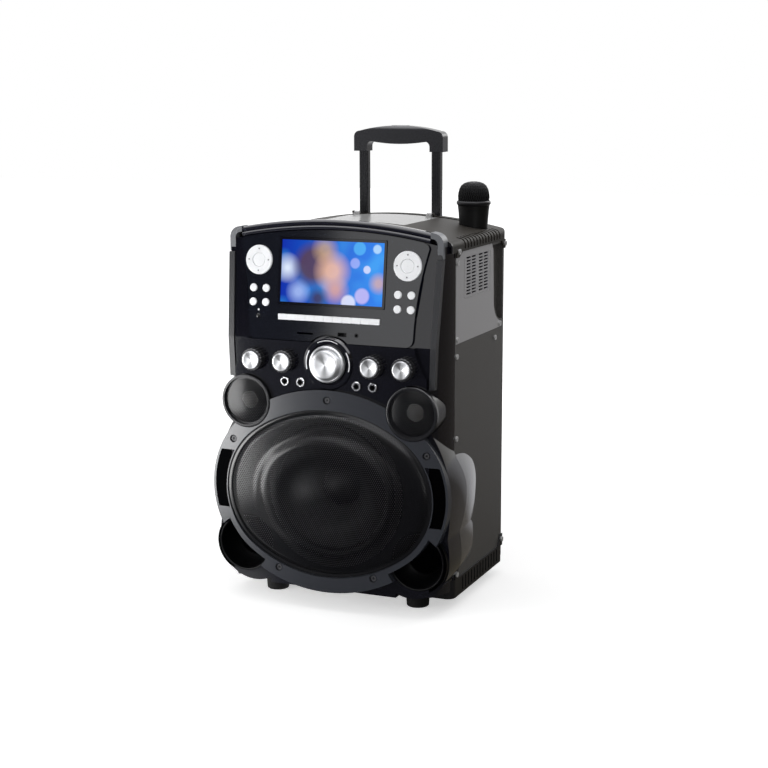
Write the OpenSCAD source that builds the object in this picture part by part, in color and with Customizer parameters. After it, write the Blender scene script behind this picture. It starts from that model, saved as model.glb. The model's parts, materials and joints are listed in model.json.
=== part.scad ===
// Portable karaoke machine on a trolley, with a disc lid on its deck.
// X runs to the right, Y to the back and Z up. The origin is on the floor,
// in the middle of the machine's width and depth.

/* [Cabinet] */
// Width over the side panels
cab_w = 331; // [322:1:345]
// Depth of the side panels
cab_d = 202; // [198:1:230]
// Thickness of the cabinet boards
board_t = 12; // [10:0.5:12.5]
// Height of the line where the side plates meet the vinyl
side_seam_z = 377; // [365:1:390]
// Depth of the rear board inside the side panels
rear_inset = 2; // [1:0.5:4]

/* [Front console] */
// How far the console face stands before the side panels
console_d = 47.5; // [44:0.5:52]
// Wall of the moulded parts
shell_t = 4; // [3:0.5:4.5]
// Height of the waist between the control panel and the knobs
waist_z = 378; // [370:1:386]
// Angle by which the control panel leans back
lean = 7; // [5:0.5:9]
// Height of the control panel up to the middle of its arched top
panel_h = 153; // [150:1:158]
// Thickness of the control panel
panel_t = 4; // [3:0.5:5]
// Half width of the control panel at its shoulders
panel_hw = 141.3; // [139:0.5:143]
// Half width of the control panel at its foot
panel_foot_hw = 123.5; // [120:0.5:126]
// Thickness of the raised knob panel
knob_panel_t = 6; // [5:0.5:8]
// Width of the trim strips along the console
trim_w = 8.5; // [6:0.5:10]

/* [Display] */
// Width of the display's visible area
display_w = 154; // [146:1:156]
// Height of the display's visible area
display_h = 86; // [80:1:87]
// Width of the frame round the display
bezel_w = 3.5; // [2.5:0.25:4]
// Height of the display's middle
display_z = 473.5; // [471:0.5:474]

/* [Buttons and keys] */
// Radius of the two direction pads
dpad_r = 20.5; // [18:0.5:21]
// Radius of the button in the middle of a direction pad
dpad_centre_r = 9.3; // [8:0.1:10]
// Distance of a direction pad from the middle
dpad_x = 111.7; // [108:0.1:112]
// Height of the direction pads
dpad_z = 487; // [484:0.5:488]
// Radius of the round buttons
button_r = 5.5; // [4:0.1:6]
// Middle of a group of four buttons, from the middle of the panel
button_x = 109; // [106:0.1:110]
// Spacing of the buttons across
button_gap_x = 19.5; // [16:0.1:20]
// Height of the middle of the four buttons
button_z = 438.4; // [435:0.1:440]
// Spacing of the buttons upwards
button_gap_z = 19.5; // [16:0.1:21]
// Number of keys in the key bar
key_count = 11; // [11:1:11]
// Length of the key bar
key_bar_w = 153.3; // [140:0.1:160]
// Height of the keys
key_h = 8; // [6:0.1:10]
// Height of the key bar's middle
key_z = 410; // [407:0.5:412]
// How far buttons and keys stand proud
button_proud = 1.6; // [1.3:0.1:2.5]
// Gap round buttons and keys
button_gap = 0.3; // [0.2:0.05:0.4]

/* [Knobs and sockets] */
// Height of the knobs above the top of the woofer ring
knob_rise = 36.2; // [35:0.2:38]
// Distance of the outer knobs from the middle
knob_x_outer = 113.3; // [110:0.1:115]
// Distance of the inner knobs from the middle
knob_x_inner = 66.4; // [64:0.1:70]
// Radius of a small knob
knob_r = 16; // [14:0.2:17]
// Height of a small knob
knob_h = 15; // [12:0.5:17]
// Radius of the large knob
jog_r = 26; // [22:0.5:27]
// Height of the large knob
jog_h = 15; // [12:0.5:17]
// Radius of the knob shafts
shaft_r = 3; // [2.5:0.1:4]
// Running clearance on shafts and axles
run_gap = 0.05; // [0.03:0.01:0.08]
// Height of the microphone sockets above the top of the woofer ring
jack_rise = 7.5; // [7:0.1:8.5]
// Distance of the outer microphone sockets from the middle
jack_x_outer = 66.5; // [64:0.1:68]
// Distance of the inner microphone sockets from the middle
jack_x_inner = 42.4; // [40:0.1:44]
// Radius of the microphone sockets' bore
jack_bore_r = 3.2; // [3.15:0.05:3.4]

/* [Woofer] */
// Width of the woofer ring beside the grille
ring_side_w = 23.5; // [21:0.5:24]
// Width of the woofer ring above and below the grille
ring_top_w = 25; // [23:0.5:26]
// Height of the ring's middle
ring_z = 170; // [169:0.5:171]
// How far the ring's middle stands before the console face
ring_d = 18.5; // [17:0.5:20]
// Angle by which the ring leans back
ring_lean = 2.4; // [1.5:0.1:3]
// Half width of the grille
grille_hw = 156; // [152:0.5:157]
// Half height of the grille
grille_hh = 118; // [115:0.5:119]
// Height of the grille's middle
grille_z = 166.6; // [165:0.2:168]
// Rise of the grille's dome
grille_rise = 13; // [8:0.5:16]
// Radius of the woofer's cone opening
woofer_r = 100; // [90:1:102]
// Depth of the woofer behind the console face
woofer_d = 88; // [70:1:100]

/* [Ports and tweeters] */
// Distance of the bass ports from the middle
port_x = 132; // [130:0.5:134]
// Height of the bass ports
port_z = 81; // [79:0.5:83]
// Radius of the bass ports' mouth
port_r = 38; // [36:0.5:39]
// Radius of the bass ports' throat
port_throat_r = 26; // [20:0.5:30]
// Depth of the bass ports
port_d = 55; // [48:0.5:56]
// Distance of the tweeters from the middle
tweeter_x = 125.8; // [124:0.2:127]
// Height of the tweeters
tweeter_z = 288.9; // [287:0.2:290]
// Radius of a tweeter pod
tweeter_r = 37.5; // [36:0.5:38.5]
// How far the tweeter pods stand before the console face
tweeter_front_d = 13.2; // [12:0.2:15]

/* [Top cap] */
// Radius of the arch over the top of the machine
arch_r = 760; // [700:5:850]
// Height of the brow over the control panel
brow_h = 14; // [12:0.5:16]
// How far the brow rises above the deck
brow_rise = 8; // [6:0.5:9]
// How far the caps stand out from the side panels
cap_lip = 2.3; // [2:0.1:3]
// Height from the cabinet's top edge to the deck's middle
deck_rise = 25; // [24:0.5:28]
// Half width of the disc lid
lid_hw = 71; // [68:0.5:73]
// Depth of the disc lid
lid_d = 131; // [129:0.5:132]
// Thickness of the disc lid
lid_t = 2.6; // [2:0.1:3]
// Radius of the disc well
well_r = 62.5; // [61:0.5:63]
// Distance of the microphone holders from the middle
mic_x = 132.75; // [130:0.25:133]
// Radius of the microphone holders
mic_hole_r = 18.5; // [18.2:0.1:18.8]
// Half length of the tablet slot
slot_hw = 108; // [90:1:112]
// Width of the tablet slot
slot_w = 11; // [8:0.5:11.5]
// Depth of the tablet slot below the deck's middle
slot_d = 23; // [18:0.5:26]

/* [Base and wheels] */
// Height of the feet
foot_h = 18; // [14:0.5:22]
// Radius of the feet
foot_r = 17; // [14:0.5:19]
// Distance of the feet from the middle
foot_x = 110.4; // [100:0.2:125]
// Height of the base cap
base_h = 26; // [22:0.5:30]
// Radius of the wheels
wheel_r = 25; // [22:0.5:27]
// Width of the wheels
wheel_w = 24; // [18:0.5:26]
// Distance of the wheels from the middle
wheel_x = 120; // [116:0.5:122]
// Radius of the wheel axles
axle_r = 4; // [3:0.1:5]
// How far the wheels stand out behind the side panels
wheel_out = 14; // [10:0.5:15]

/* [Trolley handle] */
// Distance of the handle tubes from the middle
tube_x = 58.1; // [56:0.1:60]
// Width of a handle tube
tube_w = 14; // [12:0.2:15]
// Depth of a handle tube
tube_d = 11; // [9:0.2:11.6]
// Sliding gap round the handle tubes
tube_gap = 0.3; // [0.2:0.05:0.4]
// Wall of the rails that the tubes slide in
rail_t = 1.4; // [1:0.1:1.6]
// Height of the grip above the deck, as it stands
grip_z = 129; // [110:1:160]
// Length of the handle tubes
tube_len = 420; // [400:5:430]

/* [Hidden] */
$fn = 96;
far = 400;
seat = 0.2;

// Woofer ring round its grille, and the knobs and sockets over it
ring_hw = grille_hw + ring_side_w;
ring_hh = grille_hh + ring_top_w;
knob_z = ring_z + ring_hh + knob_rise;
jack_z = ring_z + ring_hh + jack_rise;

// Depths, from the foot of the woofer ring to the back of the grip
rail_w = tube_w + 2 * (tube_gap + rail_t);
rail_d = tube_d + 2 * (tube_gap + rail_t);
grip_wall = 5;
front_reach = console_d + ring_d + ring_hh * sin(ring_lean);
rear_reach = 0.1 - rear_inset + (rail_d + tube_d) / 2 + grip_wall;
yf = (front_reach - cab_d - rear_reach) / 2;
yb = yf + cab_d;
rear_face = yb - rear_inset;
face_y = yf - console_d;
knob_face_y = face_y - knob_panel_t;
cab_hw = cab_w / 2;
cap_hw = cab_hw + cap_lip;

// Heights
brow_top = waist_z + panel_h + brow_h;
deck_z = brow_top - brow_rise;
deck_r = arch_r - brow_rise;
arch_zc = brow_top - arch_r;
cab_top = deck_z - deck_rise;
base_top = foot_h + base_h;
base_floor_t = 8;
cab_bottom = foot_h + base_floor_t;
skirt_z = cab_top - 9;
fascia_z = 30;

// Panel and waist
brow_r = arch_r - brow_h;
panel_arch_r = brow_r - 0.4;
notch_r = 40;
key_pitch = key_bar_w / key_count;
key_x0 = -78.8;
sd_x = -36.9;
usb_x = 19.2;
aux_x = 40.5;
port_row_z = 390;

// Ring frame
ring_y = face_y - ring_d;
crown_r = 2700;
ring_end_r = 122;
grille_end_r = 100;
band_w = 8;
block_low = 133.5;
block_high = 217;
block_rim = 3.5;
block_lip = 2;

// Ports and tweeters
port_house_r = 44.4;
cheek_t = 12.5;
swell_r = 800;
port_rim_t = 2.5;
pod_front_y = face_y - tweeter_front_d;

// Lid and disc
lid_y1 = yb - 24;
lid_y0 = lid_y1 - lid_d;
hinge_z = deck_z + 1;
well_y = (lid_y0 + lid_y1) / 2;
slot_y = yb - 14;
mic_y = yb - 41;
mic_deck_z = arch_zc + sqrt(deck_r * deck_r - mic_x * mic_x);
cup_depth = 113;
cup_t = 1.8;

// Wheels
wheel_y = yb + wheel_out - wheel_r;
well_hw = wheel_w / 2 + 2.5;
house_t = 4;

// Trolley
tube_y = rear_face + 0.1 + rail_d / 2;
grip_top = deck_z + grip_z;
grip_hw = tube_x + 13;
grip_drop = 25;
grip_bottom = grip_top - 38;
sleeve_in = tube_x - 8;

// Edges of the caps
brow_y = side_face(brow_top) - panel_t;
brow_angle = 10.85;
cap_rear = yb + 6;
base_front = yf - 10.8;
base_rear = yb + 2.2;
rib_count = 13;
corner_x = 142;
corner_hw = cab_hw - 5;
corner_low = skirt_z - 6;
trim_low = waist_z - 56;
trim_low_x = 151;
trim_top_x = 156.5;
slot_floor_z = deck_z - slot_d + 0.9;
well_floor_z = deck_z - 13;
hinge_x = 54;
ledge_y = 9;

// Fixings and small parts
screw_hole_r = 1.8;
screw_r = 1.6;
screw_len = 6;
head_r = 3.8;
shaft_len = 9;
knob_xs = [-knob_x_outer, -knob_x_inner, 0, knob_x_inner, knob_x_outer];
amp_hw = 44;
amp_z0 = 250;
amp_z1 = 370;
amp_t = 1.5;
mic_z0 = mic_deck_z - cup_depth + seat;

function side_face(z) = face_y + max(0, z - waist_z) * tan(lean);
function arc(cx, cy, r, a0, a1, n = 10) =
    [for (i = [0:n]) [cx + r * cos(a0 + (a1 - a0) * i / n), cy + r * sin(a0 + (a1 - a0) * i / n)]];
function bow(p, q, s, n = 10) =
    [for (i = [0:n]) let (t = i / n, d = q - p) p + d * t + [d[1], -d[0]] / norm(d) * s * 4 * t * (1 - t)];
function flip(pts) = [for (i = [len(pts) - 1:-1:0]) [-pts[i][0], pts[i][1]]];
function deck_at(x) = arch_zc + sqrt(deck_r * deck_r - x * x);
// Height along the leaning panel for a height above the floor
function up_panel(z) = (z - waist_z) / cos(lean);

// Profile in X and Z, carried along Y
module along_y(y0, y1) {
    translate([0, y1, 0]) rotate([90, 0, 0]) linear_extrude(y1 - y0) children();
}
// Place on an upright face, with Z out of it towards the front
module out_y(x, y, z) {
    translate([x, y, z]) rotate([90, 0, 0]) children();
}
// Profile in Y and Z, carried along X
module along_x(x0, x1) {
    translate([x0, 0, 0]) rotate([90, 0, 90]) linear_extrude(x1 - x0) children();
}
module cyl_y(x, z, r, y0, y1) {
    translate([x, y1, z]) rotate([90, 0, 0]) cylinder(r = r, h = y1 - y0);
}
module box(x0, x1, y0, y1, z0, z1) {
    translate([x0, y0, z0]) cube([x1 - x0, y1 - y0, z1 - z0]);
}
module both() {
    children();
    mirror([1, 0, 0]) children();
}
// Place on the leaning control panel, with -Y out of its face
module on_panel(x, z) {
    translate([x, face_y - panel_t / cos(lean) + (z - waist_z) * tan(lean), z]) rotate([-lean, 0, 0]) children();
}
// Frame of the leaning woofer ring, with its front at Y = 0
module in_ring() {
    translate([0, ring_y, ring_z]) rotate([-ring_lean, 0, 0]) children();
}

// Oval of four tangent arcs: half width a, half height b, end arcs of radius r
module oval(a, b, r) {
    c = a - r;
    big = (c * c + b * b - r * r) / (2 * (b - r));
    d = big - b;
    tx = big * c / norm([c, d]);
    intersection() {
        translate([0, -d]) circle(r = big, $fn = 180);
        translate([0, d]) circle(r = big, $fn = 180);
        square([2 * tx, 3 * b], center = true);
    }
    for (s = [-1, 1]) translate([s * c, 0]) circle(r = r, $fn = 180);
}
module ring_outline(grow = 0) {
    oval(ring_hw + grow, ring_hh + grow, ring_end_r + grow);
}
module grille_outline(grow = 0) {
    translate([0, grille_z - ring_z]) oval(grille_hw + grow, grille_hh + grow, grille_end_r + grow);
}
module port_discs(r) {
    for (s = [-1, 1]) translate([s * port_x, port_z - ring_z]) circle(r = r);
}

// Cabinet
module cabinet_envelope(grow = 0) {
    box(-cab_hw - grow, cab_hw + grow, yf - grow, yb + grow, cab_bottom, cab_top);
}
vent_y = yf + 34;
vent_w = 108;
vent_z = side_seam_z + 59;
vent_h = 57;
slot_len = 17;
slot_pitch = 4.5;
plate_t = 1.5;
plate_y0 = yf + 3;
plate_y1 = yb - 8.5;
plate_top = skirt_z - 0.5;
recess_y = yb - 47;

module side_plate_outline(gap = 0) {
    polygon(concat(
        [[plate_y0 - gap, side_seam_z - gap], [plate_y1 + gap, side_seam_z - gap]],
        [[plate_y1 + gap, side_seam_z + 8]],
        bow([plate_y1 + gap, side_seam_z + 8], [recess_y + 4 + gap, side_seam_z + 34], -7, 8),
        [[recess_y + gap, plate_top - 10], [recess_y - 6 + gap, plate_top + gap]],
        [[plate_y0 - gap, plate_top + gap]]));
}
module vent_slots(x0, x1) {
    for (bx = [0, 1], bz = [0, 1], cx = [0, 1], row = [0:5]) {
        y = vent_y + 10 + bx * 50 + cx * 21;
        z = vent_z + 4.5 + bz * 27.5 + row * slot_pitch;
        box(x0, x1, y, y + slot_len, z, z + 2.4);
    }
}
module cabinet() {
    color("dimgray") difference() {
        cabinet_envelope();
        box(-cab_hw + board_t, cab_hw - board_t, yf - 1, rear_face - board_t, cab_bottom + board_t, cab_top + 1);
        box(-cab_hw + board_t, cab_hw - board_t, rear_face, yb + 1, cab_bottom - 1, cab_top + 1);
        // Window for the amplifier in the rear board
        box(-amp_hw + 6, amp_hw - 6, rear_face - board_t - 1, rear_face + 1, amp_z0 + 8, amp_z1 - 8);
        both() {
            // Shallow step that the metal side plate lies in
            along_x(cab_hw - plate_t, cab_hw + 1) side_plate_outline(0.3);
            // Recessed grab hollow at the rear corner
            along_x(cab_hw - 8, cab_hw + 1) polygon(concat([[yb - 6, side_seam_z + 11], [yb - 6, plate_top - 3],
                [recess_y - 5, plate_top - 3], [recess_y + 1, plate_top - 11]],
                bow([recess_y + 5.5, side_seam_z + 35], [plate_y1 - 1, side_seam_z + 11], 6.5, 8)));
            // Air holes behind the four groups of slots
            for (bx = [0, 1], bz = [0, 1])
                box(cab_hw - board_t - 1, cab_hw, vent_y + 8 + bx * 50, vent_y + 50 + bx * 50,
                    vent_z + 3 + bz * 27.5, vent_z + 29 + bz * 27.5);
            wheel_house(0.3);
            // Pilot holes of the screws
            side_screw_places() cylinder(r = screw_hole_r, h = 2 * screw_len + 2, center = true);
        }
    }
}
module side_plates() {
    color("silver") both() difference() {
        along_x(cab_hw - plate_t + 0.1, cab_hw) side_plate_outline();
        vent_slots(cab_hw - plate_t - 1, cab_hw + 1);
        // Shallow frame line stamped round the slots
        difference() {
            box(cab_hw - 0.5, cab_hw + 1, vent_y, vent_y + vent_w, vent_z, vent_z + vent_h);
            box(cab_hw - 2, cab_hw + 2, vent_y + 1.2, vent_y + vent_w - 1.2, vent_z + 1.2, vent_z + vent_h - 1.2);
        }
        side_places(cab_hw, plate_screws()) cylinder(r = 2.2, h = 20, center = true);
    }
}
// Screws into the right-hand side: of the plate, the vinyl, the base cap and the top cap
function plate_screws() = [[plate_y0 + 5, side_seam_z + 6], [plate_y1 - 8, side_seam_z + 5], [plate_y0 + 5, plate_top - 14]];
function vinyl_screws() = [[yf + 6, side_seam_z - 17], [yf + 164, side_seam_z - 13], [yf + 6, side_seam_z - 132]];
function base_screws() = [[yf + 5, base_top + 7], [yb - 5, base_top + 8]];
function cap_screws() = [[yf + 8, skirt_z + 1], [yb - 2.5, skirt_z - 5]];
module side_places(x, points) {
    for (p = points) translate([x, p[0], p[1]]) rotate([0, 90, 0]) children();
}
module side_screw_places() {
    side_places(cab_hw, concat(plate_screws(), vinyl_screws())) children();
    side_places(cap_hw, concat(base_screws(), cap_screws())) children();
}

// Base cap
module wheel_house(grow = 0) {
    box(wheel_x - well_hw - house_t - grow, wheel_x + well_hw + house_t + grow,
        wheel_y - wheel_r - 2.5 - house_t - grow, yb + far, 0, 2 * wheel_r + 3 + house_t + grow);
}
module base_plan(z0, z1) {
    r = 12;
    translate([0, 0, z0]) linear_extrude(z1 - z0) union() {
        translate([-cap_hw, base_front + r]) square([2 * cap_hw, base_rear - base_front - 2 * r]);
        translate([-cap_hw + r, base_front]) square([2 * (cap_hw - r), base_rear - base_front]);
        for (x = [-1, 1], y = [base_front + r, base_rear - r]) translate([x * (cap_hw - r), y]) circle(r = r);
    }
}
module front_ear_outline(grow = 0) {
    polygon([[yf + seat - 9 * grow, base_top - 2], [yf + seat - 9 * grow, base_top + 15 + grow],
        [yf + 7 + grow, base_top + 15 + grow], [yf + 17 + 1.5 * grow, base_top - 2]]);
}
module base_ear_outline() {
    front_ear_outline();
    polygon([[yb - 20, base_top - 2], [yb - 9, base_top + 16], [yb, base_top + 16], [yb, base_top - 2]]);
}
module base_cap() {
    color([0.1, 0.1, 0.11]) difference() {
        union() {
            difference() {
                base_plan(foot_h, base_top);
                cabinet_envelope(seat);
            }
            both() along_x(cab_hw + seat, cap_hw) base_ear_outline();
            both() intersection() {
                wheel_house();
                base_plan(foot_h, 3 * wheel_r);
            }
        }
        both() {
            // Wheel well, open behind and below
            box(wheel_x - well_hw, wheel_x + well_hw, wheel_y - wheel_r - 2.5, yb + far, 0, 2 * wheel_r + 3);
            // Axle holes
            translate([wheel_x, wheel_y, wheel_r]) rotate([0, 90, 0])
                cylinder(r = axle_r + run_gap, h = 2 * (well_hw + house_t) - 2, center = true);
            // Ribs along the side
            for (i = [0:rib_count - 1]) {
                y = yf + 30 + i * (cab_d - 56) / (rib_count - 1);
                box(cap_hw - 1.1, cap_hw + 1, y - 2.5, y + 2.5, foot_h + 4, base_top - 3);
            }
            side_places(cap_hw, base_screws()) cylinder(r = screw_hole_r, h = 20, center = true);
        }
    }
}
module feet() {
    color([0.08, 0.08, 0.08]) both() translate([foot_x, yf + 3, 0]) difference() {
        rotate_extrude() polygon(concat([[0, 0]], arc(foot_r - 3, 2, 2, -90, 0, 6), [[foot_r, foot_h], [0, foot_h]]));
        translate([0, 0, -1]) cylinder(r = 5, h = 6);
    }
}
module wheel(x) {
    hw = wheel_w / 2;
    hub = wheel_r * 0.36;
    rim = wheel_r * 0.74;
    dish = 4;
    translate([x, wheel_y, wheel_r]) rotate([0, 90, 0]) difference() {
        rotate_extrude() polygon(concat(
            [[axle_r + run_gap, 1 - hw], [hub, 1 - hw], [hub + 2, dish - hw], [rim - 1, dish - hw], [rim, -hw]],
            arc(wheel_r - 3, 3 - hw, 3, -90, 0, 6), arc(wheel_r - 3, hw - 3, 3, 0, 90, 6),
            [[rim, hw], [rim - 1, hw - dish], [hub + 2, hw - dish], [hub, hw - 1], [axle_r + run_gap, hw - 1]]));
        for (a = [0:60:300]) rotate([0, 0, a]) translate([(hub + rim) / 2, 0, 0])
            cylinder(r = 2.4, h = 2 * wheel_w, center = true);
    }
}
module wheel_left() { color([0.12, 0.12, 0.12]) wheel(-wheel_x); }
module wheel_right() { color([0.12, 0.12, 0.12]) wheel(wheel_x); }
module wheel_axles() {
    color("silver") both() translate([wheel_x, wheel_y, wheel_r]) rotate([0, 90, 0])
        cylinder(r = axle_r, h = 2 * (well_hw + house_t) - 2.4, center = true);
}

// Points of an arch of radius r, from +hw to -hw
function arch_points(r, hw, n = 32) = [for (i = [0:n]) let (x = hw * (1 - 2 * i / n)) [x, arch_zc + sqrt(r * r - x * x)]];
module under_arch(r, hw, low = 0) {
    polygon(concat([[hw, low]], arch_points(r, hw), [[-hw, low]]));
}
module above_arch(r, hw) {
    polygon(concat([[hw, far * 2]], arch_points(r, hw), [[-hw, far * 2]]));
}
// Outline of the top in X and Z: arched, with rounded shoulders and straight sides
module top_profile(r, hw, corner, low) {
    cx = hw - corner;
    cz = arch_zc + sqrt((r - corner) * (r - corner) - cx * cx);
    turn = atan2(cz - arch_zc, cx);
    polygon(concat([[hw, low]], arc(cx, cz, corner, 0, turn - 1, 8), arch_points(r, cx * r / (r - corner)),
        arc(-cx, cz, corner, 181 - turn, 180, 8), [[-hw, low]]));
}
module cap_slab(y0, y1, inset = 0, low = skirt_z) {
    along_y(y0, y1) top_profile(deck_r - inset, cap_hw - inset, 9 - inset, low);
}
// The brow's section, swung along the arch
module brow() {
    h = -brow_y;
    translate([0, 0, arch_zc]) rotate([90, 0, 0]) rotate([0, 0, 90 - brow_angle])
        rotate_extrude(angle = 2 * brow_angle, $fn = 720) polygon(concat(
            [[brow_r, h - 18], [deck_r - 2, h - 18], [arch_r - 0.5, h - 12]],
            arc(arch_r - 4, h - 4, 4, 0, 90, 6),
            [[arch_r - 5.6, h], [arch_r - 6.2, h - 1.2], [arch_r - 7, h - 1.2]],
            arc(brow_r + 3.25, h - 1.5, 3.25, 20, 160, 8),
            [[brow_r, h - 1.5]]));
}
// Rounded corner pieces where the brow turns down to the sides
module corner_block(grow = 0) {
    intersection() {
        along_y(brow_y - 1 - grow, brow_y + 17 + grow) difference() {
            top_profile(arch_r + 1 + grow, corner_hw + grow, 15 + grow, corner_low - grow);
            top_profile(arch_r - 7 - grow, corner_hw - 8.5 - grow, 8 - grow, 0);
        }
        box(corner_x - grow, far, -far, far, 0, 2 * far);
    }
}
module trim_strip(grow = 0) {
    turn = atan((trim_top_x - trim_low_x) / (corner_low - trim_low));
    zm = (corner_low + trim_low) / 2;
    translate([(trim_top_x + trim_low_x) / 2, 0, zm]) rotate([0, turn, 0]) translate([0, 0, -zm])
        along_x(-trim_w / 2 - grow, trim_w / 2 + grow) polygon([
            for (z = [trim_low - grow, waist_z, corner_low - 0.6 + grow]) [side_face(z) - 2 - grow, z],
            for (z = [corner_low - 0.6 + grow, waist_z, trim_low - grow]) [side_face(z) + 7 + grow, z]]);
}
module corner_trims() {
    color([0.36, 0.37, 0.4]) both() {
        corner_block();
        trim_strip();
    }
}
module cap_plan() {
    r = 12;
    linear_extrude(far * 2) union() {
        translate([-cap_hw - 1, -far]) square([2 * cap_hw + 2, far + cap_rear - r]);
        translate([-cap_hw + r, -far]) square([2 * (cap_hw - r), far + cap_rear]);
        for (s = [-1, 1]) translate([s * (cap_hw - r), cap_rear - r]) circle(r = r);
    }
}
module top_cap() {
    color([0.34, 0.33, 0.32]) difference() {
        union() {
            difference() {
                intersection() {
                    cap_slab(brow_y + 14, cap_rear);
                    cap_plan();
                }
                // Hollow under the deck
                along_y(yf + 6, rear_face - 4) under_arch(deck_r - shell_t, cab_hw - board_t - 3);
                cabinet_envelope(seat);
                // Seat over the front console
                along_y(-far, yf + 6.5) under_arch(brow_r + 0.3, cab_hw + seat);
            }
            brow();
            // Ears that hang down at the corners
            both() along_x(cab_hw + seat, cap_hw) union() {
                polygon([[yf + seat, skirt_z + 1], [yf + seat, skirt_z - 7], [yf + 10, skirt_z - 7], [yf + 24, skirt_z + 1]]);
                polygon([[yb - 16, skirt_z + 1], [yb - 6, skirt_z - 12], [yb + 1, skirt_z - 12], [yb + 1, skirt_z + 1]]);
            }
            // Thicker deck and well wall under the lid
            intersection() {
                cap_slab(lid_y0 - 5, lid_y1 + 2);
                along_y(lid_y0 - 5, lid_y1 + 2) above_arch(deck_r - 7.5, lid_hw + 5);
            }
            intersection() {
                translate([0, well_y, well_floor_z]) cylinder(r = well_r + 3, h = 40);
                cap_slab(lid_y0 - 5, lid_y1 + 2);
            }
            // Microphone holders and tablet trough
            intersection() {
                union() {
                    both() translate([mic_x, mic_y, mic_deck_z - cup_depth - cup_t]) cylinder(r = mic_hole_r + cup_t, h = far);
                    both() translate([mic_x, mic_y, cab_top + 2 * seat]) cylinder(r = mic_hole_r + cup_t + 3, h = far);
                    box(-slot_hw - 2, slot_hw + 2, slot_y - slot_w / 2 - 2, slot_y + slot_w / 2 + 2, slot_floor_z - 1.8, far * 2);
                }
                cap_slab(-far, far, 0, 0);
            }
            // Collars round the handle tubes
            both() box(tube_x - rail_w / 2 - 3, tube_x + rail_w / 2 + 3, yb + seat, tube_y + tube_d / 2 + tube_gap + 2.4,
                skirt_z, deck_z - 9);
            // Pivots of the lid
            both() {
                translate([hinge_x + 8.4, lid_y1, hinge_z]) rotate([0, 90, 0]) cylinder(r = 2.6, h = 3);
                box(hinge_x + 8.4, hinge_x + 11.4, lid_y1 + 0.1, lid_y1 + 3.4, deck_z - 5, hinge_z);
                translate([hinge_x + 2, lid_y1, hinge_z]) rotate([0, 90, 0]) cylinder(r = 1.25, h = 7);
            }
        }
        both() translate([mic_x, mic_y, mic_deck_z - cup_depth]) {
            cylinder(r = mic_hole_r, h = far);
            translate([0, 0, cup_depth - 13]) cylinder(r1 = mic_hole_r, r2 = mic_hole_r + 2.9, h = 14.5);
            translate([0, 0, cup_depth + 1.4]) cylinder(r = mic_hole_r + 2.9, h = far);
        }
        box(-slot_hw, slot_hw, slot_y - slot_w / 2, slot_y + slot_w / 2, slot_floor_z, far * 2);
        both() box(tube_x - tube_w / 2 - tube_gap, tube_x + tube_w / 2 + tube_gap,
            tube_y - tube_d / 2 - tube_gap, tube_y + tube_d / 2 + tube_gap, 0, far * 2);
        // Recess that the lid lies in, well, and scoop for a finger
        intersection() {
            box(-lid_hw - 0.4, lid_hw + 0.4, lid_y0 - 0.4, lid_y1 + 0.05, skirt_z, deck_z + 0.2);
            along_y(-far, far) above_arch(deck_r - lid_t - 0.3, lid_hw + 9);
        }
        translate([0, well_y, 0]) cylinder(r = well_r, h = far * 2);
        translate([0, lid_y0 - 1, deck_z + 6]) rotate([0, 90, 0]) cylinder(r = 9, h = 26, center = true);
        both() {
            corner_block(seat);
            // Ribs over the shoulders
            intersection() {
                for (i = [0:rib_count - 1]) {
                    y = yf + 32 + i * (cab_d - 58) / (rib_count - 1);
                    box(cap_hw - 13, far, y - 2.6, y + 2.6, skirt_z + 3, far * 2);
                }
                difference() {
                    cap_slab(-far, far, -1);
                    cap_slab(-far, far, 1.1);
                }
            }
            side_places(cap_hw, cap_screws()) cylinder(r = screw_hole_r, h = 20, center = true);
        }
    }
}
module disc_lid() {
    color([0.42, 0.41, 0.4]) difference() {
        union() {
            intersection() {
                box(-lid_hw, lid_hw, lid_y0, lid_y1 - 0.1, skirt_z, far * 2);
                along_y(-far, far) difference() {
                    under_arch(deck_r, lid_hw + 9);
                    under_arch(deck_r - lid_t, lid_hw + 9, -1);
                }
            }
            both() {
                translate([hinge_x, lid_y1, hinge_z]) rotate([0, 90, 0]) cylinder(r = 2.4, h = 8);
                box(hinge_x, hinge_x + 8, lid_y1 - 6, lid_y1 - 0.1, deck_at(hinge_x + 4) - 1.5, hinge_z);
            }
        }
        both() translate([hinge_x - 1, lid_y1, hinge_z]) rotate([0, 90, 0]) cylinder(r = 1.25 + run_gap, h = 20);
    }
}
module disc_deck() {
    color([0.15, 0.15, 0.16]) difference() {
        union() {
            translate([0, well_y, well_floor_z - 3.1]) cylinder(r = well_r + 3, h = 3);
            translate([0, well_y, well_floor_z - 14]) cylinder(r = 14, h = 12);
        }
        // Slot of the pickup, and the spindle's bearing
        box(-11, 11, well_y - 50, well_y - 19, 0, far * 2);
        translate([0, well_y, well_floor_z - 12]) cylinder(r = 2.5 + run_gap, h = 30);
    }
    color("silver") translate([0, well_y - 34, well_floor_z - 2.6]) {
        difference() {
            box(-10.7, 10.7, -8, 8, -3, 2);
            cylinder(r = 3.4, h = 9, center = true);
        }
        cylinder(r = 3.2, h = 2.6);
    }
}
module disc_hub() {
    color([0.2, 0.2, 0.2]) translate([0, well_y, well_floor_z]) {
        rotate_extrude() polygon([[0, -11.5], [2.5, -11.5], [2.5, 0.2], [14.5, 0.2], [14.5, 2], [7.4, 2],
            [7.4, 4.4], [6.4, 5.4], [0, 5.4]]);
    }
}

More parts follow.
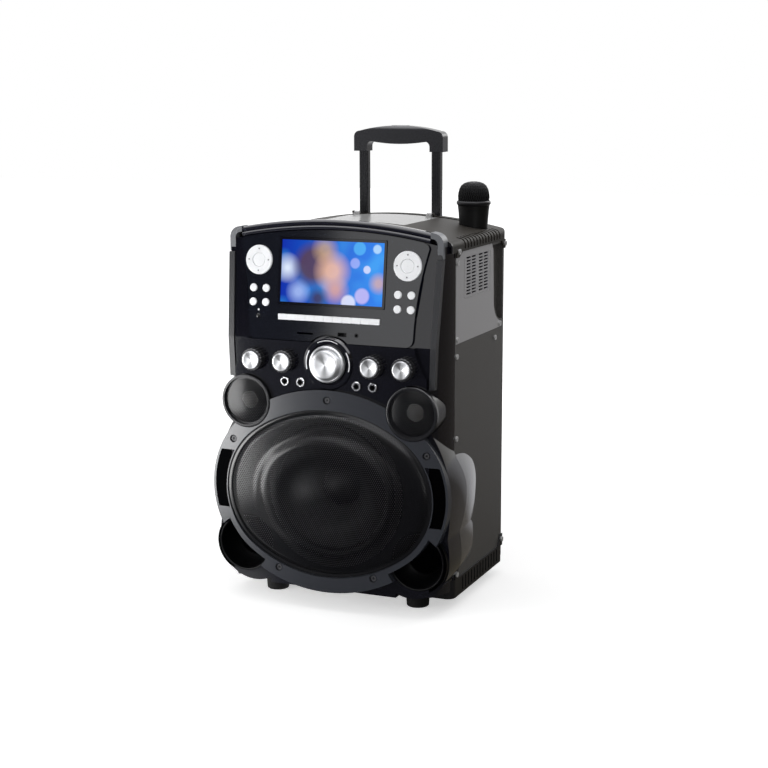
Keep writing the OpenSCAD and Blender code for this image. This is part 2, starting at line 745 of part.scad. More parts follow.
// Front console
module console_plan(inset) {
    hw = cab_hw - 0.3 - inset;
    half = concat([[hw, yf + 2]], bow([hw, yf - seat], [hw - 9, face_y + 9 + inset], -1.6, 8),
        [[hw - 17, face_y + inset - (inset > 0 ? 0 : 1)]]);
    polygon(concat(half, flip(half)));
}
module console_body(inset) {
    intersection() {
        translate([0, 0, fascia_z + inset]) linear_extrude(far * 2) console_plan(inset);
        along_x(-far, far) polygon([[yf + (inset > 0 ? 1 : -seat), 0], [face_y + inset, 0], [face_y + inset, waist_z],
            [side_face(brow_top) + inset, brow_top], [yf + (inset > 0 ? 1 : -seat), brow_top]]);
        along_y(-far, far) under_arch(panel_arch_r - inset, cab_hw);
    }
}
// Sides that swell out round the woofer and the ports: each slice is round in Z and, more gently, in Y
module swell_slice(x_out, z, rz, z0, z1, y0, y1) {
    steps = 16;
    intersection() {
        translate([x_out - rz, 0, z]) rotate([-90, 0, 0]) rotate_extrude($fn = 720) polygon(concat([[0, y0]],
            [for (i = [0:steps]) let (y = y0 + (y1 - y0) * i / steps) [rz - pow(y - face_y, 2) / (2 * swell_r), y]],
            [[0, y1]]));
        box(-1, far, -far, far, z0, z1);
    }
}
module bulge(y0, y1, inset = 0) {
    x = cab_hw + cheek_t - inset;
    both() {
        swell_slice(x, ring_z, 160 - inset, ring_z, ring_z + 100, y0, y1);
        swell_slice(x, ring_z, 400 - inset, port_z, ring_z, y0, y1);
        swell_slice(x - 1, port_z, 200 - inset, port_z, ring_z, y0, y1);
        swell_slice(x - 1, port_z, 56 - inset, 0, port_z, y0, y1);
    }
}
module seam_outline(shift) {
    polygon([[yf - 20, 0], [yf + 4 + shift, 0], [yf + 4 + shift, 47], [yf + 0.6 + shift, 110],
        for (t = [0:0.1:1]) [yf + 0.6 + shift + 26 * sin(180 * t), 110 + 108 * t], [yf - 20, 240]]);
}
module cheek_outline() {
    top = [yf + seat, ring_z + 54];
    shoulder = [yf + 49, ring_z + 45];
    middle = [yf + 82.9, ring_z - 1.3];
    low = [yf + 64, port_z - 15];
    polygon(concat([top], bow(top, shoulder, -1.5, 4), bow(shoulder, middle, -11, 8), bow(middle, low, -3, 8),
        bow(low, [yf + 4.2, port_z - 37], -7, 6)));
}
module side_cheeks() {
    color([0.25, 0.24, 0.24]) both() difference() {
        intersection() {
            bulge(yf + seat, yf + 90);
            along_x(cab_hw + seat, far) cheek_outline();
        }
        along_x(0, far) seam_outline(0.25);
        along_x(0, far) front_ear_outline(0.3);
    }
}
// The ring's own outline: an oval with bites for the ports, kept whole in a band round the grille
module ring_shape() {
    difference() {
        union() {
            difference() {
                ring_outline();
                port_discs(port_r + port_rim_t + 0.8);
            }
            grille_outline(band_w);
        }
        block_shape(0);
    }
}
module block_shape(grow) {
    intersection() {
        difference() {
            ring_outline(-block_rim + grow);
            grille_outline(block_lip - grow);
        }
        translate([-far, block_low - ring_z - grow]) square([2 * far, block_high - block_low + 2 * grow]);
    }
}
module before(y) {
    box(-far, far, -far, y, -far, far * 2);
}
module woofer_ring() {
    color([0.4, 0.41, 0.44]) difference() {
        intersection() {
            in_ring() intersection() {
                along_y(-1, 60) ring_shape();
                translate([0, crown_r, -far]) cylinder(r = crown_r, h = 2 * far, $fn = 1440);
            }
            before(face_y - 0.05);
        }
        in_ring() {
            along_y(-60, ledge_y) grille_outline(0.5);
            along_y(-60, 80) grille_outline(-4);
            ring_screw_places() {
                cyl_y(0, 0, 5.5, -20, 4);
                cyl_y(0, 0, screw_hole_r, -20, 12);
            }
        }
        both() pod_body(0.6);
    }
}
module ring_screw_places() {
    for (p = [[0, 128.8], [-147.1, 63], [147.1, 63], [-72.5, -115.2], [72.5, -115.2]])
        translate([p[0], crown_r - sqrt(crown_r * crown_r - p[0] * p[0]), p[1]]) children();
}
function pod_points(g) = concat([[0, -g], [tweeter_r + g - 1.5, -g]], arc(tweeter_r + g - 1.5, 1.5 - g, 1.5, -90, 0, 4),
    [[tweeter_r - 1 + g, 9]], bow([tweeter_r - 1.4 + g, 36 + g], [0, 60 + g], -12.5, 10));
module pod_body(g) {
    translate([tweeter_x, pod_front_y, tweeter_z]) rotate([-90, 0, 0]) rotate_extrude() polygon(pod_points(g));
}
module tweeter_pods() {
    color([0.4, 0.41, 0.44]) both() difference() {
        pod_body(0);
        cyl_y(tweeter_x, tweeter_z, tweeter_r - 3.5, pod_front_y - 5, pod_front_y + 4);
        cyl_y(tweeter_x, tweeter_z, tweeter_r - 6, pod_front_y, pod_front_y + 30);
    }
}
module fascia() {
    color([0.07, 0.07, 0.09]) difference() {
        union() {
            difference() {
                union() {
                    console_body(0);
                    // Swollen sides, whose lips wrap round the side panels
                    difference() {
                        bulge(face_y, yf + 40);
                        both() difference() {
                            box(-1, far, yf - seat, far, 0, far);
                            along_x(cab_hw + seat, far) difference() {
                                seam_outline(0);
                                front_ear_outline(0.3);
                            }
                        }
                    }
                }
                console_body(shell_t);
                intersection() {
                    bulge(face_y + shell_t, yf + 1, shell_t);
                    union() {
                        before(yf - seat - 1);
                        box(-cab_hw - seat, cab_hw + seat, -far, far, 0, far);
                    }
                }
            }
            // Raised knob panel with its ring round the large knob, and housings of the ports
            difference() {
                union() {
                    along_y(knob_face_y, face_y + 1) knob_panel_outline();
                    out_y(0, knob_face_y, knob_z) rotate_extrude() polygon([[jog_r + 2, -1], [jog_r + 2, 1.5],
                        [jog_r + 3.5, 3], [jog_r + 9, 3], [jog_r + 11.5, -1]]);
                    along_y(face_y - 9, face_y + 1) translate([0, ring_z]) port_discs(port_house_r);
                    // Rail under the console
                    box(-97, 97, face_y + 0.5, face_y + 24, foot_h + 5.5, fascia_z + 1);
                }
                intersection() {
                    in_ring() along_y(-60, 60) ring_outline(0.6);
                    before(face_y);
                }
            }
            // Blocks in the ring's windows
            intersection() {
                in_ring() along_y(6, 60) block_shape(-0.4);
                before(face_y + 1);
            }
            // Stub shafts of the knobs
            for (x = knob_xs) cyl_y(x, knob_z, shaft_r, knob_face_y - shaft_len, knob_face_y + 1);
        }
        in_ring() ring_screw_places() cyl_y(0, 0, screw_hole_r, 0, 12);
        control_panel_windows();
        cyl_y(0, grille_z, woofer_r + 0.3, -far, yf);
        both() {
            pod_body(0.6);
            cyl_y(port_x, port_z, port_r + port_rim_t + 0.3, -far, yf);
            corner_block(seat);
            trim_strip(seat);
            for (x = [jack_x_inner, jack_x_outer]) cyl_y(x, jack_z, jack_bore_r + 2.2 + 0.1, -far, yf);
        }
        box(-far, far, base_front - seat, far, 0, base_top + seat);
    }
}

// Openings in the console behind the control panel
module control_panel_windows() {
    on_panel(0, waist_z) along_y(panel_t - 1, 3 * shell_t + 30) union() {
        polygon([[-108, 17], [108, 17], [127, 42], [134, 92], [134, 130], [120, 136], [-120, 136], [-134, 130],
            [-134, 92], [-127, 42]]);
        translate([-display_w / 2 - bezel_w - 1, up_panel(display_z) - 50])
            square([display_w + 2 * bezel_w + 2, 50 + display_h / 2 + bezel_w + 1]);
    }
    on_panel(0, waist_z) along_y(panel_t - 1, panel_t + 12) for (p = [[sd_x, 28], [usb_x, 15], [aux_x, 10]])
        translate([p[0], up_panel(port_row_z)]) square([p[1], 9], center = true);
}
function panel_half() = concat(
    arc(0, up_panel(knob_z), notch_r, 90, asin(-up_panel(knob_z) / notch_r), 12),
    arc(panel_foot_hw - 10, 10, 10, -90, -6, 8),
    bow([panel_foot_hw + 0.2, 11], [panel_hw, shoulder - 8], -4, 10),
    arc(panel_hw - 8, shoulder - 8, 8, 4, 78, 8),
    [for (x = [panel_hw - 8:-(panel_hw - 8) / 20:0.1]) [x, up_panel(arch_zc + sqrt(pow(panel_arch_r, 2) - x * x))]]);
shoulder = up_panel(arch_zc + sqrt(pow(panel_arch_r, 2) - panel_hw * panel_hw)) + 0.8;
module in_panel() {
    on_panel(0, waist_z) rotate([90, 0, 0]) children();
}
module slab(z0, z1) {
    translate([0, 0, z0]) linear_extrude(z1 - z0) children();
}
module rounded(w, h, r) {
    square([w - 2 * r, h], center = true);
    square([w, h - 2 * r], center = true);
    for (x = [-1, 1], y = [-1, 1]) translate([x * (w / 2 - r), y * (h / 2 - r)]) circle(r = r);
}
module control_panel() {
    color([0.2, 0.21, 0.24]) in_panel() difference() {
        slab(-panel_t + 0.05, 0) polygon(concat(panel_half(), flip(panel_half())));
        translate([0, up_panel(display_z), 0])
            cube([display_w + 2 * bezel_w + 0.6, display_h + 2 * bezel_w + 0.6, 20], center = true);
        for (x = [-dpad_x, dpad_x]) translate([x, up_panel(dpad_z), -10]) cylinder(r = dpad_r + button_gap, h = 20);
        for (p = button_places) translate([p[0], up_panel(p[1]), -10]) cylinder(r = button_r + button_gap, h = 20);
        translate([key_x0 - button_gap, up_panel(key_z) - key_h / 2 - button_gap, -10])
            cube([key_bar_w + 2 * button_gap, key_h + 2 * button_gap, 20]);
        // Remote eye and lamp
        translate([-110, up_panel(409.4), -1]) cylinder(r = 3.5, h = 9);
        translate([-110, up_panel(418), -1]) cylinder(r = 1.6, h = 9);
        // Card slot, data port and small jack
        translate([sd_x, up_panel(port_row_z) - 1.2, 0]) cube([24.4, 2.8, 20], center = true);
        translate([usb_x, up_panel(port_row_z), 0]) cube([13.4, 5.8, 20], center = true);
        translate([aux_x, up_panel(port_row_z), 0]) cylinder(r = 3.1, h = 20, center = true);
    }
}
module display_bezel() {
    w = display_w + 2 * bezel_w;
    h = display_h + 2 * bezel_w;
    color([0.05, 0.05, 0.06]) in_panel() translate([0, up_panel(display_z), 0]) difference() {
        slab(-8, 1.5) rounded(w, h, 2.5);
        slab(-9, -0.2) rounded(w - 2.4, h - 2.4, 1.5);
        slab(-9, 9) square([display_w, display_h], center = true);
    }
}
module display_screen() {
    color([0.2, 0.45, 0.75]) in_panel() translate([0, up_panel(display_z), 0])
        slab(-5.4, -0.4) rounded(display_w + 2 * bezel_w - 2.8, display_h + 2 * bezel_w - 2.8, 1.3);
}

// Buttons and keys
button_places = [for (side = [-1, 1], row = [1, -1], col = [-1, 1])
    [side * button_x + col * button_gap_x / 2, button_z + row * button_gap_z / 2]];
module round_button(i) {
    color("white") in_panel() translate([button_places[i][0], up_panel(button_places[i][1]), 0]) rotate_extrude()
        polygon(concat([[0, -panel_t - 3], [button_r, -panel_t - 3]], arc(button_r - 1, button_proud - 1, 1, 0, 90, 5),
            [[0, button_proud]]));
}
module key(i) {
    color("white") in_panel() translate([key_x0 + (i + 0.5) * key_pitch, up_panel(key_z), 0])
        slab(-panel_t - 3, button_proud) rounded(key_pitch - 0.4, key_h, 0.6);
}
module dpad(x) {
    color("white") in_panel() translate([x, up_panel(dpad_z), 0]) difference() {
        rotate_extrude() polygon(concat([[dpad_centre_r + button_gap, -panel_t - 3], [dpad_r, -panel_t - 3]],
            arc(dpad_r - 1.5, button_proud - 1, 1.5, 0, 90, 6), [[dpad_centre_r + button_gap + 1, button_proud + 0.2],
            [dpad_centre_r + button_gap, button_proud - 0.6]]));
        for (a = [0:90:270]) rotate([0, 0, a]) translate([15.5, 0, button_proud - 0.1]) cylinder(r = 1, h = 3);
    }
}
module dpad_centre(x) {
    color("white") in_panel() translate([x, up_panel(dpad_z), 0]) rotate_extrude()
        polygon(concat([[0, -panel_t - 3], [dpad_centre_r, -panel_t - 3]],
            arc(dpad_centre_r - 1, button_proud - 1.2, 1, 0, 90, 5), [[0, button_proud]]));
}
module dpad_left() { dpad(-dpad_x); }
module dpad_right() { dpad(dpad_x); }
module dpad_left_centre() { dpad_centre(-dpad_x); }
module dpad_right_centre() { dpad_centre(dpad_x); }

// Knobs: a fluted skirt under a turned cap, bored for the shaft
module small_knob(x) {
    color("silver") out_y(x, knob_face_y - 0.3, knob_z) difference() {
        union() {
            linear_extrude(knob_h - 3) difference() {
                circle(r = knob_r);
                for (a = [0:20:340]) rotate(a) translate([knob_r + 0.5, 0]) circle(r = 1.3);
            }
            rotate_extrude() polygon(concat([[0, knob_h - 3.5], [knob_r - 3.1, knob_h - 3.5]],
                arc(knob_r - 4.1, knob_h - 1, 1, 0, 90, 4), [[0, knob_h]]));
        }
        translate([0, 0, -1]) cylinder(r = shaft_r + run_gap, h = shaft_len + 1);
        translate([-0.5, knob_r - 8, knob_h - 0.6]) cube([1, 5, 2]);
    }
}
module knob_1() { small_knob(-knob_x_outer); }
module knob_2() { small_knob(-knob_x_inner); }
module knob_3() { small_knob(knob_x_inner); }
module knob_4() { small_knob(knob_x_outer); }
module jog_knob() {
    color("silver") out_y(0, knob_face_y - 0.3, knob_z) difference() {
        rotate_extrude() polygon(concat([[shaft_r + run_gap, 0], [jog_r, 0]], arc(jog_r - 2.5, jog_h * 0.6 - 2.5, 2.5, 0, 90, 6),
            [[jog_r - 4.4, jog_h * 0.6 - 1.4], [jog_r - 5.4, jog_h * 0.6 - 1.4]],
            arc(jog_r - 8.4, jog_h - 3.2, 3, 0, 90, 8), [[9, jog_h - 0.9], [0, jog_h - 2.2], [0, shaft_len], [shaft_r + run_gap, shaft_len]]));
        translate([13, 0, jog_h - 1.2]) cylinder(r = 3, h = 4);
    }
}
module knob_panel_outline() {
    half = concat([[0, waist_z - 0.5], [panel_foot_hw + 3, waist_z - 0.5]],
        bow([panel_foot_hw + 3, waist_z - 0.5], [145, waist_z - 43], 2, 8), [[145, waist_z - 88], [0, waist_z - 88]]);
    difference() {
        polygon(concat(half, flip(half)));
        translate([0, tweeter_z]) for (s = [-1, 1]) translate([s * tweeter_x, 0]) circle(r = tweeter_r + 0.5);
    }
}

// Sockets: four microphone jacks with chrome nuts, the small jack and the data port
module sockets() {
    color("silver") {
        both() for (x = [jack_x_inner, jack_x_outer]) out_y(x, knob_face_y, jack_z) rotate_extrude()
            polygon([[jack_bore_r, -24], [jack_bore_r + 2.2, -24], [jack_bore_r + 2.2, 0.1], [jack_bore_r + 3.4, 0.1],
                [jack_bore_r + 3.4, 2.2], [jack_bore_r + 2.8, 2.8], [jack_bore_r, 2.8]]);
        in_panel() translate([aux_x, up_panel(port_row_z), 0]) difference() {
            union() {
                translate([0, 0, -12]) cylinder(r = 2.9, h = 12.5);
            }
            translate([0, 0, -11]) cylinder(r = 1.75, h = 20);
        }
        in_panel() translate([usb_x, up_panel(port_row_z), 0]) difference() {
            translate([0, 0, -6]) cube([13, 5.4, 12], center = true);
            translate([0, 0, -5]) cube([12.2, 4.7, 12], center = true);
        }
    }
}

// Grilles
function oval_reach(a, b, r, t) =
    let (c = a - r, big = (c * c + b * b - r * r) / (2 * (b - r)), d = big - b, tx = big * c / norm([c, d]),
        u = abs(cos(t)), v = abs(sin(t)), far_arc = sqrt(big * big - d * d * u * u) - d * v)
    far_arc * u <= tx ? far_arc : c * u + sqrt(r * r - c * c * v * v);
function ease(f, a, b) = let (t = min(1, max(0, (f - a) / (b - a)))) t * t * (3 - 2 * t);
// Height of the stamped dome: a rolled edge, a broad shoulder, an oval step and an oval hollow
function dome(f) = grille_rise * (0.30 * (1 - ease(f, 0.9, 0.985)) + 0.34 * (1 - f * f) + 0.22 * (1 - ease(f, 0.66, 0.78))
    - 0.12 * (1 - ease(f, 0.36, 0.46)) + 0.26 * (1 - ease(f, 0.0, 0.36)));
dome_rings = [0.05, 0.16, 0.28, 0.36, 0.39, 0.43, 0.46, 0.56, 0.66, 0.69, 0.72, 0.75, 0.78, 0.85, 0.9, 0.925, 0.955, 0.985, 1];
module oval_grille() {
    n = 64;
    m = len(dome_rings);
    t = 1.2;
    function pt(f, k, y) = let (a = 360 * k / n, l = f * oval_reach(grille_hw - 0.3, grille_hh - 0.3, grille_end_r, a))
        [l * cos(a), y - dome(f), l * sin(a)];
    y0 = ledge_y - seat - t;
    pts = concat([for (f = dome_rings, k = [0:n - 1]) pt(f, k, y0)], [for (f = dome_rings, k = [0:n - 1]) pt(f, k, y0 + t)],
        [[0, y0 - dome(0), 0], [0, y0 + t - dome(0), 0]]);
    half = m * n;
    ends = 2 * half;
    faces = concat(
        [for (i = [0:m - 2], k = [0:n - 1]) let (l = (k + 1) % n) [i * n + k, i * n + l, (i + 1) * n + l, (i + 1) * n + k]],
        [for (i = [0:m - 2], k = [0:n - 1]) let (l = (k + 1) % n)
            [half + (i + 1) * n + k, half + (i + 1) * n + l, half + i * n + l, half + i * n + k]],
        [for (k = [0:n - 1]) let (l = (k + 1) % n) [(m - 1) * n + k, (m - 1) * n + l, half + (m - 1) * n + l, half + (m - 1) * n + k]],
        [for (k = [0:n - 1]) let (l = (k + 1) % n) [ends, l, k]],
        [for (k = [0:n - 1]) let (l = (k + 1) % n) [ends + 1, half + k, half + l]]);
    in_ring() translate([0, 0, grille_z - ring_z]) polyhedron(pts, faces, convexity = 6);
}
module speaker_grilles() {
    color([0.16, 0.16, 0.17]) {
        oval_grille();
        both() translate([tweeter_x, pod_front_y + 4 - seat, tweeter_z]) rotate([90, 0, 0]) rotate_extrude()
            polygon(concat([[0, 3.2], [0, 2.2]], bow([0, 2.2], [tweeter_r - 5, 0], -0.6, 6), [[tweeter_r - 3.8, 0]],
                [[tweeter_r - 3.8, 1.4]], bow([tweeter_r - 4.6, 1.6], [0, 3.2], 0.6, 6)));
    }
}

// Drivers behind the grilles
module speaker_drivers() {
    color([0.1, 0.1, 0.1]) {
        translate([0, face_y - seat, grille_z]) rotate([-90, 0, 0]) rotate_extrude() polygon(concat(
            [[0, 20]], arc(0, 46, 30, -90, -32, 8), [[28, 36], [woofer_r - 18, 2]],
            arc(woofer_r - 11, 1, 6.5, 180, 360, 8), [[woofer_r - 3, -1], [woofer_r - 1, -4], [woofer_r + 8, -4]],
            [[woofer_r + 8, 0], [woofer_r - 0.6, 0], [woofer_r - 2, 10], [64, woofer_d - 28], [60, woofer_d - 26]],
            [[60, woofer_d], [0, woofer_d]]));
        both() translate([tweeter_x, pod_front_y, tweeter_z]) rotate([-90, 0, 0]) rotate_extrude() polygon(concat(
            [[0, 7]], arc(0, 19, 12, -90, -30, 6), [[12, 14.4], [tweeter_r - 8, 9], [tweeter_r - 6.3, 9]],
            [[tweeter_r - 6.3, 12], [tweeter_r - 12, 14], [18, 18], [18, 29.7], [0, 29.7]]));
    }
}
module port_tubes() {
    front = face_y - 9;
    rim = port_r + port_rim_t;
    color([0.3, 0.3, 0.32]) both() difference() {
        translate([port_x, front, port_z]) rotate([-90, 0, 0]) rotate_extrude() polygon(concat(
            arc(port_r + 1.25, 0, 1.25, 180, 360, 6), [[rim, 12.8]], [[port_throat_r + 14, 17], [port_throat_r + 2.4, 36]],
            [[port_throat_r + 2.4, port_d], [port_throat_r, port_d], [port_throat_r, 34]],
            bow([port_throat_r, 34], [port_r, 2], -4, 8)));
        in_ring() along_y(-80, ring_d + 9) grille_outline(band_w + 0.5);
    }
}

// Screws, each a head and a shank, with the head towards the front
module screw() {
    difference() {
        union() {
            cylinder(r = head_r, h = 2);
            translate([0, 0, -screw_len]) cylinder(r = screw_r, h = screw_len + 0.5);
        }
        translate([0, 0, 1]) cylinder(r = 1.6, h = 3, $fn = 6);
    }
}
module screws() {
    color("silver") {
        in_ring() ring_screw_places() translate([0, 4 - 0.1, 0]) rotate([90, 0, 0]) screw();
        both() {
            side_screw_places() translate([0, 0, 0.05]) screw();
        }
    }
}

// Trolley
module trolley_rails() {
    color([0.15, 0.15, 0.16]) both() translate([tube_x, tube_y, base_top + 18]) linear_extrude(skirt_z - 2 - base_top - 18)
        difference() {
            rounded(rail_w, rail_d, 1.5);
            square([tube_w + 2 * tube_gap, tube_d + 2 * tube_gap], center = true);
        }
}
module handle_tubes() {
    color([0.1, 0.1, 0.1]) both() translate([tube_x, tube_y, grip_bottom + 14 - tube_len]) linear_extrude(tube_len)
        difference() {
            rounded(tube_w, tube_d, 1.5);
            for (s = [-1, 1], x = [-3, 0, 3]) translate([x, s * tube_d / 2]) square([1, 0.8], center = true);
        }
}
module grip_outline() {
    w = grip_hw;
    crown = grip_top - 8;
    polygon(concat([[-w, grip_bottom]], arc(-w + 9, crown - 9, 9, 180, 100, 8), bow([-w + 9, crown], [w - 9, crown], -8, 16),
        arc(w - 9, crown - 9, 9, 80, 0, 8), [[w, grip_bottom], [sleeve_in, grip_bottom]],
        arc(sleeve_in - 8, grip_top - grip_drop - 6, 8, 0, 70, 6), bow([sleeve_in - 10, grip_top - grip_drop + 1],
        [-sleeve_in + 10, grip_top - grip_drop + 1], -3, 12), arc(-sleeve_in + 8, grip_top - grip_drop - 6, 8, 110, 180, 6),
        [[-sleeve_in, grip_bottom]]));
}
module handle_grip() {
    d = tube_d / 2 + grip_wall;
    color([0.3, 0.3, 0.32]) difference() {
        intersection() {
            along_y(tube_y - d, tube_y + d) grip_outline();
            along_x(-far, far) polygon(concat(arc(tube_y + d - 6, grip_top - 6, 6, 0, 90, 6), arc(tube_y - d + 6, grip_top - 6, 6, 90, 180, 6),
                [[tube_y - d, grip_bottom], [tube_y + d, grip_bottom]]));
        }
        both() box(tube_x - tube_w / 2 - 0.05, tube_x + tube_w / 2 + 0.05, tube_y - tube_d / 2 - 0.05, tube_y + tube_d / 2 + 0.05,
            grip_bottom - 1, grip_bottom + 14.1);
        translate([0, tube_y, grip_top - 9]) linear_extrude(20) rounded(27.6, 11.6, 4);
    }
}
module release_button() {
    color([0.25, 0.25, 0.27]) translate([0, tube_y, grip_top - 5.5]) linear_extrude(5.5) rounded(27, 11, 3.7);
}

// Microphone standing in the right-hand holder
module microphone_body() {
    h0 = mic_z0;
    color([0.1, 0.1, 0.1]) translate([mic_x, mic_y, 0]) rotate_extrude() polygon([[0, h0], [11, h0], [12, h0 + 2],
        [14.5, h0 + 70], [17.4, mic_deck_z - 14], [20.2, mic_deck_z - 1], [20.6, mic_deck_z + 4],
        [22, mic_deck_z + 22], [23, mic_deck_z + 29.5], [0, mic_deck_z + 29.5]]);
}
module microphone_head() {
    z = mic_deck_z + 29.7;
    color([0.08, 0.08, 0.08]) translate([mic_x, mic_y, z]) rotate_extrude() polygon(concat([[0, 0], [23, 0]],
        arc(22.8, 3.8, 1.8, -60, 60, 6), [[23.2, 6.6]], bow([23.2, 7], [17.5, 30], 1.8, 6), arc(13, 28, 5.6, 25, 90, 6), [[0, 34.4]]));
}

// Amplifier on its metal rear plate, with the mains inlet and the switch opening
inlet_z = amp_z0 + 22;
switch_z = amp_z0 + 52;
module amp_module() {
    color("silver") difference() {
        box(-amp_hw, amp_hw, rear_face + 0.05, rear_face + amp_t, amp_z0, amp_z1);
        box(-14, 14, 0, far, inlet_z - 8, inlet_z + 8);
        box(-7.2, 7.2, 0, far, switch_z - 11.2, switch_z + 11.2);
        for (x = [-20, 0, 20]) cyl_y(x, amp_z1 - 24, 5.1, 0, far);
    }
    color("black") {
        difference() {
            box(-13.8, 13.8, rear_face - 18, rear_face + amp_t + 1.5, inlet_z - 7.8, inlet_z + 7.8);
            box(-9, 9, rear_face - 14, far, inlet_z - 4.5, inlet_z + 4.5);
        }
        for (x = [-20, 0, 20]) difference() {
            cyl_y(x, amp_z1 - 24, 5, rear_face - 12, rear_face + amp_t + 7);
            cyl_y(x, amp_z1 - 24, 1.7, rear_face - 6, far);
        }
    }
    // Board on the plate, with its transformer and heat sink
    color("darkgreen") box(-36, 36, rear_face - 60, rear_face - 58, amp_z0 + 12, amp_z1 - 12);
    color("silver") {
        box(-34, -12, rear_face - 57.9, rear_face - 20, amp_z0 + 14, amp_z0 + 50);
        for (i = [0:5]) box(14 + i * 3.6, 15.6 + i * 3.6, rear_face - 57.9, rear_face - 22, amp_z0 + 60, amp_z1 - 14);
        for (x = [-34, 30], z = [amp_z0 + 13, amp_z1 - 17]) box(x, x + 4, rear_face - 58, rear_face, z, z + 4);
    }
}
module power_switch() {
    color([0.05, 0.05, 0.05]) translate([0, rear_face + amp_t - 1, switch_z]) rotate([0, 90, 0]) intersection() {
        translate([0, 0, -6.6]) cylinder(r = 10.4, h = 13.2);
        translate([-10.4, -3, -7]) cube([20.8, 7.2, 14]);
    }
}

module button_1() { round_button(0); }
module button_2() { round_button(1); }
module button_3() { round_button(2); }
module button_4() { round_button(3); }
module button_5() { round_button(4); }
module button_6() { round_button(5); }
module button_7() { round_button(6); }
module button_8() { round_button(7); }
module key_1() { key(0); }
module key_2() { key(1); }
module key_3() { key(2); }
module key_4() { key(3); }
module key_5() { key(4); }
module key_6() { key(5); }
module key_7() { key(6); }
module key_8() { key(7); }
module key_9() { key(8); }
module key_10() { key(9); }
module key_11() { key(10); }

cabinet();
top_cap();
base_cap();
fascia();
control_panel();
display_bezel();
display_screen();
corner_trims();
side_plates();
side_cheeks();
woofer_ring();
speaker_grilles();
speaker_drivers();
port_tubes();
tweeter_pods();
sockets();
screws();
feet();
trolley_rails();
amp_module();
wheel_axles();
disc_deck();
disc_hub();
disc_lid();
wheel_left();
wheel_right();
handle_tubes();
handle_grip();
release_button();
microphone_head();
microphone_body();
power_switch();
knob_1();
knob_2();
jog_knob();
knob_3();
knob_4();
dpad_left();
dpad_right();
dpad_left_centre();
dpad_right_centre();
button_1();
button_2();
button_3();
button_4();
button_5();
button_6();
button_7();
button_8();
key_1();
key_2();
key_3();
key_4();
key_5();
key_6();
key_7();
key_8();
key_9();
key_10();
key_11();
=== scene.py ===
"""Looks and studio of a portable karaoke machine with a disc lid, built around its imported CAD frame."""
import json
import math

import bmesh
import bpy
from bpy.props import FloatProperty, FloatVectorProperty, PointerProperty
from mathutils import Matrix, Vector


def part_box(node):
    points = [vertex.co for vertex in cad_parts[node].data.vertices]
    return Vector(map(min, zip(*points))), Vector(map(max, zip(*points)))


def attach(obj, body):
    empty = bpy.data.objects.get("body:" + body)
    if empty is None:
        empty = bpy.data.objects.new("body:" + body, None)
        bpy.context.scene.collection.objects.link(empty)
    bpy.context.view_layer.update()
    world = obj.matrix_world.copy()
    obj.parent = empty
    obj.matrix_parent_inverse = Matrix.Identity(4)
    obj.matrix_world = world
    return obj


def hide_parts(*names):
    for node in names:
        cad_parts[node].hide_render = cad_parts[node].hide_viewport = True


bl_info = {
    "name": "Karaoke machine with disc lid",
    "version": (1, 0, 0),
    "blender": (4, 5, 0),
    "location": "View3D > Sidebar > Karaoke",
    "description": "Finishes, perforated grilles, knobs, microphone and studio of a portable karaoke machine",
    "category": "Object",
}

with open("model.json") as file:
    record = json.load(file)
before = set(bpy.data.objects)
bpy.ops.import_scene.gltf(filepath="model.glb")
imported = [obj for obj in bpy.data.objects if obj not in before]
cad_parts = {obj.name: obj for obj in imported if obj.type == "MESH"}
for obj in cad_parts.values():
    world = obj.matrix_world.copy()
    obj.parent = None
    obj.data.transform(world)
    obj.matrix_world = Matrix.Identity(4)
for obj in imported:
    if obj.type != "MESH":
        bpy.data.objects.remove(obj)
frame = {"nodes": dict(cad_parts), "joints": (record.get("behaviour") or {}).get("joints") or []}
NODES = frame["nodes"]
JOINTS = {j["name"]: j for j in frame["joints"]}
MACHINE = "machine"

# All places and sizes are in metres, in the frame's own axes: the front faces -Y and Z is up.
# The leaning frame that the woofer ring and its grille lie in, and where the grille sits in it
RING_ORIGIN = Vector((0.0, -0.1389, 0.170))
RING_LEAN = math.radians(2.4)
GRILLE_DROP = -0.0034
GRILLE_SEAT = 0.0076
GRILLE_HALF_W, GRILLE_HALF_H, GRILLE_END_R, GRILLE_RISE = 0.1557, 0.1177, 0.0997, 0.013
# Ring screws, across and up in the ring's frame, and the ring's bulge under them
RING_SCREWS = ((0.0, 0.1288), (-0.1471, 0.063), (0.1471, 0.063), (-0.0725, -0.1152), (0.0725, -0.1152))
RING_SCREW_SEAT, RING_BULGE = 0.0024, 5.4
# The right tweeter's middle at its grille, the grille's radius and rise, and the radius of its dome
TWEETER = Vector((0.1258, -0.1293, 0.2889))
TWEETER_R, TWEETER_RISE, TWEETER_DOME_R = 0.0338, 0.0030, 0.0125
# The control panel's foot and lean, the places of its pads, lamp and eye
PANEL_LEAN = math.radians(7.0)
PANEL_FOOT = Vector((0.0, -0.12444, 0.378))
DPAD_X, DPAD_Z, DPAD_RISE, DPAD_MARK_R = 0.1117, 0.487, 0.0025, 0.0150
EYE_X, LAMP_Z, EYE_Z = -0.110, 0.418, 0.4094
SCREEN_MIDDLE = Vector((0.0, -0.1127, 0.4735))
SCREEN_HALF_W = 0.077
# The knob panel, its jacks (either side of a middle) and its arcs (start, stop and width)
KNOB_PANEL_Y, KNOB_Z = JOINTS["jog_knob_turn"]["pos_m"][1:]
KNOB_LIFT = Vector((0.0, -0.0003, 0.0))
JACK_MIDDLE, JACK_APART, JACK_Z, JACK_RING = 0.05445, 0.01205, 0.3205, (0.0044, 0.0065)
ARC_LIFT, ARC_R = 0.0029, 0.0318
ARCS = ((148, 196, 0.0016), (-16, 32, 0.0016), (62, 118, 0.0009))
